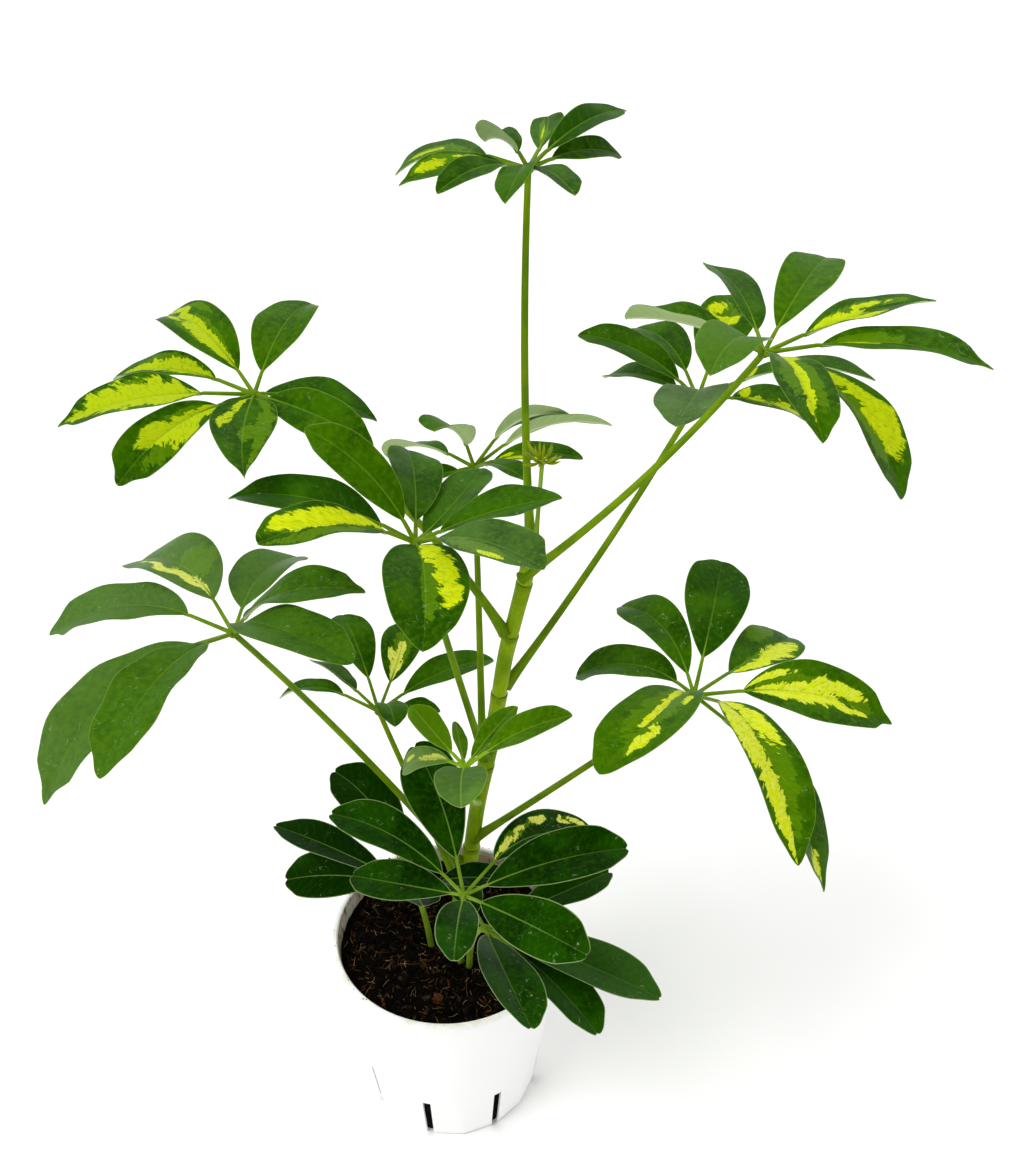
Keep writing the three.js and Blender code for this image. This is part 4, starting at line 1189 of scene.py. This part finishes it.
def makePot():
    outer, inner = potRows()
    slitRow = [z for _, z in outer].index(pot["slitTop"])
    half = math.degrees(math.asin(pot["slitWidth"] / 2 / pot["baseRadius"]))
    pitch = 360 / pot["slits"]
    degrees = []
    for k in range(pot["slits"]):
        slit = pot["firstSlit"] + pitch * k
        degrees += [slit - half, slit]
        degrees += np.linspace(slit + half, slit + pitch - half, pot["columns"] + 1)[:-1].tolist()
    degrees = np.array(degrees)
    stride = pot["columns"] + 2            # columns from one slit to the next
    fromFlat = (degrees - pot["firstSlit"]) % (pitch / 2) - pitch / 4
    flat = math.cos(math.radians(pitch / 4)) / np.cos(np.radians(fromFlat))
    angles = np.radians(degrees)

    shape = newShape()
    rows, columns = len(outer), len(angles)
    first = addPoints(shape, [potRing(*p, angles, flat) for p in outer])
    second = addPoints(shape, [potRing(*p, angles, flat) for p in inner])
    under = addPoints(shape, (0, 0, 0))
    above = addPoints(shape, (0, 0, 2))
    o = (first + np.arange(rows * columns).reshape(rows, columns)).tolist()
    n = (second + np.arange(rows * columns).reshape(rows, columns)).tolist()
    faces = []
    for j in range(columns):
        j2 = (j + 1) % columns
        slitHere = j % stride < 2
        for i in range(rows - 1):
            if slitHere and 1 <= i < slitRow:
                continue
            faces.append((o[i][j], o[i][j2], o[i + 1][j2], o[i + 1][j]))
            faces.append((n[i][j], n[i + 1][j], n[i + 1][j2], n[i][j2]))
        faces.append((o[-1][j], o[-1][j2], n[-1][j2], n[-1][j]))
        # the cut edges of each slit: below, above and at both sides
        if slitHere:
            faces.append((o[1][j], o[1][j2], n[1][j2], n[1][j]))
            faces.append((o[slitRow][j2], o[slitRow][j], n[slitRow][j], n[slitRow][j2]))
        for i in range(1, slitRow):
            if j % stride == 0:
                faces.append((o[i][j], n[i][j], n[i + 1][j], o[i + 1][j]))
            if j % stride == 2:
                faces.append((o[i][j], o[i + 1][j], n[i + 1][j], n[i][j]))
        faces.append((under, o[0][j2], o[0][j]))
        faces.append((above, n[0][j], n[0][j2]))
    addFaces(shape, faces, 0)
    keepCreases(makePiece("nursery_pot", shape, [makePotPlastic()], ["pot"]), 40)


def makePotPlastic():
    # Polypropylene, injection moulded: white, a soft satin shine, soiled along the rim, and beige
    # over the inner wall above the soil.
    material, tree = startMaterial("white polypropylene")
    place = addNode(tree, "TexCoord", output="Object")       # metres
    height = addNode(tree, "SeparateXYZ", [place], 2)
    upright = addNode(tree, "VectorMath", [place, (1.0, 1.0, 0.3)], operation="MULTIPLY")
    level = addNode(tree, "VectorMath", [place, (1.0, 1.0, 0.0)], operation="MULTIPLY")
    radius = addNode(tree, "VectorMath", [level], output="Value", operation="LENGTH")
    grain = {}
    for key, (size, detail, roughness) in pot["patterns"].items():
        inputs = {"Vector": upright if key == "smears" else place, "Scale": 1 / (size * mm),
                  "Detail": detail, "Roughness": roughness}
        grain[key] = addNode(tree, "TexNoise", inputs)
    areas = {"stained": addNode(tree, "MapRange", [grain["broad"], 0.48, 0.6], **soft)}
    for key, value, settings in (
            ("rim", height, soft), ("inside", radius, {}), ("aboveSoil", height, {})):
        start, full = pot[key]
        areas[key] = addNode(tree, "MapRange", [value, start * mm, full * mm], **settings)
    skin = srgb(pot["colour"])
    shares = {}
    for key, (pattern, start, end, least, most, where, colour) in pot["dirtAndTint"].items():
        share = addNode(tree, "MapRange", [grain[pattern], start, end, least, most], **soft)
        for area in where:
            share = addNode(tree, "Math", [share, areas[area]], operation="MULTIPLY")
        skin = addNode(tree, "Mix", {0: share, 6: skin, 7: srgb(colour)}, **blend)
        shares[key] = share
    relief = addNode(tree, "Bump", {"Height": grain["broad"], "Strength": 0.12, "Distance": 0.0003})
    rough = addNode(tree, "Math", [shares["crumbs"], 0.4, 0.4], operation="MULTIPLY_ADD")
    finishMaterial(tree, {"Base Color": skin, "Roughness": rough, "Normal": relief, "IOR": 1.49})
    return material


makePot()
print("pot")

# Soil: a dark peat plug, lumpy on top, with clods, fibres and bark on it

soil = {
    "top": 105, "crown": 2.0, "radius": 55.9, "bottom": 2.4, "bottomRadius": 44.2, "seed": 77,
    "rings": 60, "sectors": 190,
    # lumps of the surface: how many to the mm, where in the noise, height in mm
    "lumps": [(0.07, 3.0, 1.68), (0.22, 9.0, 0.96), (0.7, 20.0, 0.54)],
    "clods": 1500, "clodSize": (0.5, 2.0), "largeClod": 1.1,
    "fibres": 760, "shortFibre": (1.5, 6.5), "longFibre": (8, 15), "longOneIn": 14,
    "fibreRadius": (0.09, 0.27), "fibreBend": 0.9,
    "chips": 60, "chipSize": (1.2, 2.4), "chipFlat": 0.35,
    "husk": (-4, -37), "huskSize": 3.4,    # one reddish lump, the size of a pea
    "rimCrumbs": 90, "crumbSize": (0.18, 0.55), "crumbBand": (57.4, 59.4),
    "trunkReach": 6, "stalkReach": 3.5,    # kept clear around each foot
    # patterns: size in mm, detail, roughness
    "grit": (1.43, 5.0, 0.7), "clumps": (6.67, 3.0, 0.5),
    # materials: damp, dry and light grains, then roughness
    "peat": ("damp peat", ("#050403", "#130E09", "#271E14"), 0.95),
    "coir": ("coir fibre", ("#4C3C24", "#93784C", "#B39A6C"), 0.8),
    "redCoir": ("reddish coir fibre", ("#40220F", "#7A4424", "#A0683E"), 0.8),
    "bark": ("pine bark", ("#15100B", "#362616", "#4E3824"), 0.85),
}


def soilHeight(x, y):
    r = math.hypot(x, y) / soil["radius"]
    lumps = sum(noise.noise(Vector((x, y, z)) * scale) * height for scale, z, height in soil["lumps"])
    return soil["top"] + soil["crown"] * (1 - r) + lumps


def makeSoilMaterial(name, colours, roughness):
    # Peat and bark: matt, nearly black where damp, brown where a fibre catches the light.
    material, tree = startMaterial(name)
    place = addNode(tree, "TexCoord", output="Object")       # metres
    tone = readNotes(tree)[5]
    grain = []
    for size, detail, rough in (soil["grit"], soil["clumps"]):
        inputs = {"Vector": place, "Scale": 1 / (size * mm), "Detail": detail, "Roughness": rough}
        grain.append(addNode(tree, "TexNoise", inputs))
    grit, clumps = grain
    shade = addNode(tree, "MapRange", [clumps, 0.5, 0.8], **soft)
    shade = addNode(tree, "Math", [tone, 0.6, shade], operation="MULTIPLY_ADD")
    dry = addNode(tree, "MapRange", [shade, 0.1, 0.9], **soft)
    grains = addNode(tree, "MapRange", [grit, 0.6, 0.72], **soft)
    skin = srgb(colours[0])
    for share, colour in ((dry, colours[1]), (grains, colours[2])):
        skin = addNode(tree, "Mix", {0: share, 6: skin, 7: srgb(colour)}, **blend)
    relief = addNode(tree, "Bump", {"Height": grit, "Strength": 0.8, "Distance": 0.0008})
    finishMaterial(tree, {"Base Color": skin, "Roughness": roughness, "Normal": relief, "IOR": 1.4,
                          "Specular IOR Level": 0.06})
    return material


def makeSoilPlug(material):
    shape = newShape()
    angles = np.arange(soil["sectors"]) * 2 * np.pi / soil["sectors"]
    shoulder = soil["top"] - 1.5
    rows = []
    for share in (1.0, 0.9, 0.65, 0.4, 0.15):
        z = shoulder + (soil["bottom"] - shoulder) * share
        r = soil["radius"] + (soil["bottomRadius"] - soil["radius"]) * share
        rows.append([(r * math.cos(a), r * math.sin(a), z) for a in angles])
    for k in range(soil["rings"], 0, -1):
        r = soil["radius"] * k / soil["rings"]
        ring = [(r * math.cos(a), r * math.sin(a)) for a in angles]
        rows.append([(x, y, soilHeight(x, y)) for x, y in ring])
    notes = (plain, (0, 0, 0.3))
    start = addPoints(shape, rows, *notes)
    addFaces(shape, gridFaces(start, len(rows), len(angles), wrap=True), 0)
    under = addPoints(shape, (0, 0, soil["bottom"]), *notes)
    above = addPoints(shape, (0, 0, soilHeight(0, 0)), *notes)
    last = start + (len(rows) - 1) * len(angles)
    for j in range(len(angles)):
        j2 = (j + 1) % len(angles)
        addFaces(shape, [(under, start + j2, start + j), (above, last + j, last + j2)], 0)
    makePiece("soil_plug", shape, [material], ["soil"])


def ballTemplate(subdivisions):
    work = bmesh.new()
    bmesh.ops.create_icosphere(work, subdivisions=subdivisions, radius=1)
    points = np.array([v.co[:] for v in work.verts])
    faces = [tuple(v.index for v in f.verts) for f in work.faces]
    work.free()
    return points, faces


smallBall, largeBall = ballTemplate(1), ballTemplate(2)


# A knobbly lump, turned at random. Flat is its thickness as a share of its size.
def addLump(shape, template, centre, size, draw, slot=0, flat=1.0):
    points, faces = template
    knobs = 1 + 0.28 * draw.normal(size=(len(points), 1)).clip(-1.5, 1.5)
    spin = np.linalg.qr(draw.normal(size=(3, 3)))[0]
    if np.linalg.det(spin) < 0:
        spin[:, 0] *= -1
    body = (points * knobs * size * np.array([1, draw.uniform(0.55, 1), flat])) @ spin.T
    start = addPoints(shape, body + centre, plain, (0, 0, draw.random()))
    addFaces(shape, [tuple(start + k for k in face) for face in faces], slot)


stems = [(*trunk["path"][0][:2], soil["trunkReach"])]
stems += [(*frond["stalk"][0][:2], soil["stalkReach"]) for frond in fronds if frond["look"] == "dark"]


def soilSpot(draw, reach):
    while True:
        r = soil["radius"] * reach * math.sqrt(draw.random())
        a = draw.uniform(0, 2 * math.pi)
        x, y = r * math.cos(a), r * math.sin(a)
        if all(math.hypot(x - p, y - q) > clear for p, q, clear in stems):
            return x, y


def makeClods(draw, skin):
    shape = newShape()
    least, most = soil["clodSize"]
    for _ in range(soil["clods"]):
        x, y = soilSpot(draw, 0.97)
        size = least + (most - least) * draw.random() ** 3
        template = largeBall if size > soil["largeClod"] else smallBall
        addLump(shape, template, (x, y, soilHeight(x, y)), size, draw)
    makePiece("soil_clods", shape, [skin])


def makeFibres(draw, skins):
    shape = newShape()
    t = np.linspace(-0.5, 0.5, 7)
    for k in range(soil["fibres"]):
        x, y = soilSpot(draw, 0.95)
        turn = draw.uniform(0, 2 * math.pi)
        length = draw.uniform(*soil["shortFibre" if k % soil["longOneIn"] else "longFibre"])
        a = turn + draw.normal() * soil["fibreBend"] * t
        fx = x + np.cumsum(np.cos(a)) * length / 7
        fy = y + np.cumsum(np.sin(a)) * length / 7
        keep = np.hypot(fx, fy) < soil["radius"] - 1
        if keep.sum() < 4:
            continue
        lift = draw.uniform(0.2, 1.6)
        rises = [0.25 + lift * (0.3 + u * draw.uniform(-1, 1)) for u in t]
        fz = [soilHeight(p, q) + rise for p, q, rise in zip(fx, fy, rises)]
        run = np.stack([fx, fy, np.maximum(fz, soil["top"] - 2)], -1)[keep]
        radius = draw.uniform(*soil["fibreRadius"])
        slot = int(draw.integers(0, 2))
        addTube(shape, run, np.linspace(radius, radius * 0.5, len(run)), 5, slot, draw.random())
    makePiece("soil_fibres", shape, skins)


def makeChips(draw, skins):
    shape = newShape()
    for _ in range(soil["chips"]):
        x, y = soilSpot(draw, 0.93)
        size = draw.uniform(*soil["chipSize"])
        addLump(shape, largeBall, (x, y, soilHeight(x, y) + 0.5), size, draw, 0, soil["chipFlat"])
    x, y = soil["husk"]
    addLump(shape, largeBall, (x, y, soilHeight(x, y) + 0.8), soil["huskSize"], draw, 1, 0.45)
    makePiece("bark_chips", shape, skins)


def makeRimCrumbs(draw, skin):
    shape = newShape()
    for _ in range(soil["rimCrumbs"]):
        a = draw.uniform(0, 2 * math.pi)
        # crumbs lie only where this slow noise round the rim is high
        if noise.noise(Vector((math.cos(a) * 2, math.sin(a) * 2, 5))) < -0.05:
            continue
        r = draw.uniform(*soil["crumbBand"])
        spot = (r * math.cos(a), r * math.sin(a), pot["height"] + 0.05)
        addLump(shape, smallBall, spot, draw.uniform(*soil["crumbSize"]), draw)
    makePiece("rim_crumbs", shape, [skin])


peat, coir, redCoir, bark = (
    makeSoilMaterial(*soil[key]) for key in ("peat", "coir", "redCoir", "bark"))
soilDraw = np.random.default_rng(soil["seed"])
makeSoilPlug(peat)
makeClods(soilDraw, peat)
makeFibres(soilDraw, [coir, redCoir])
makeChips(soilDraw, [bark, redCoir])
makeRimCrumbs(soilDraw, coir)
print("soil")
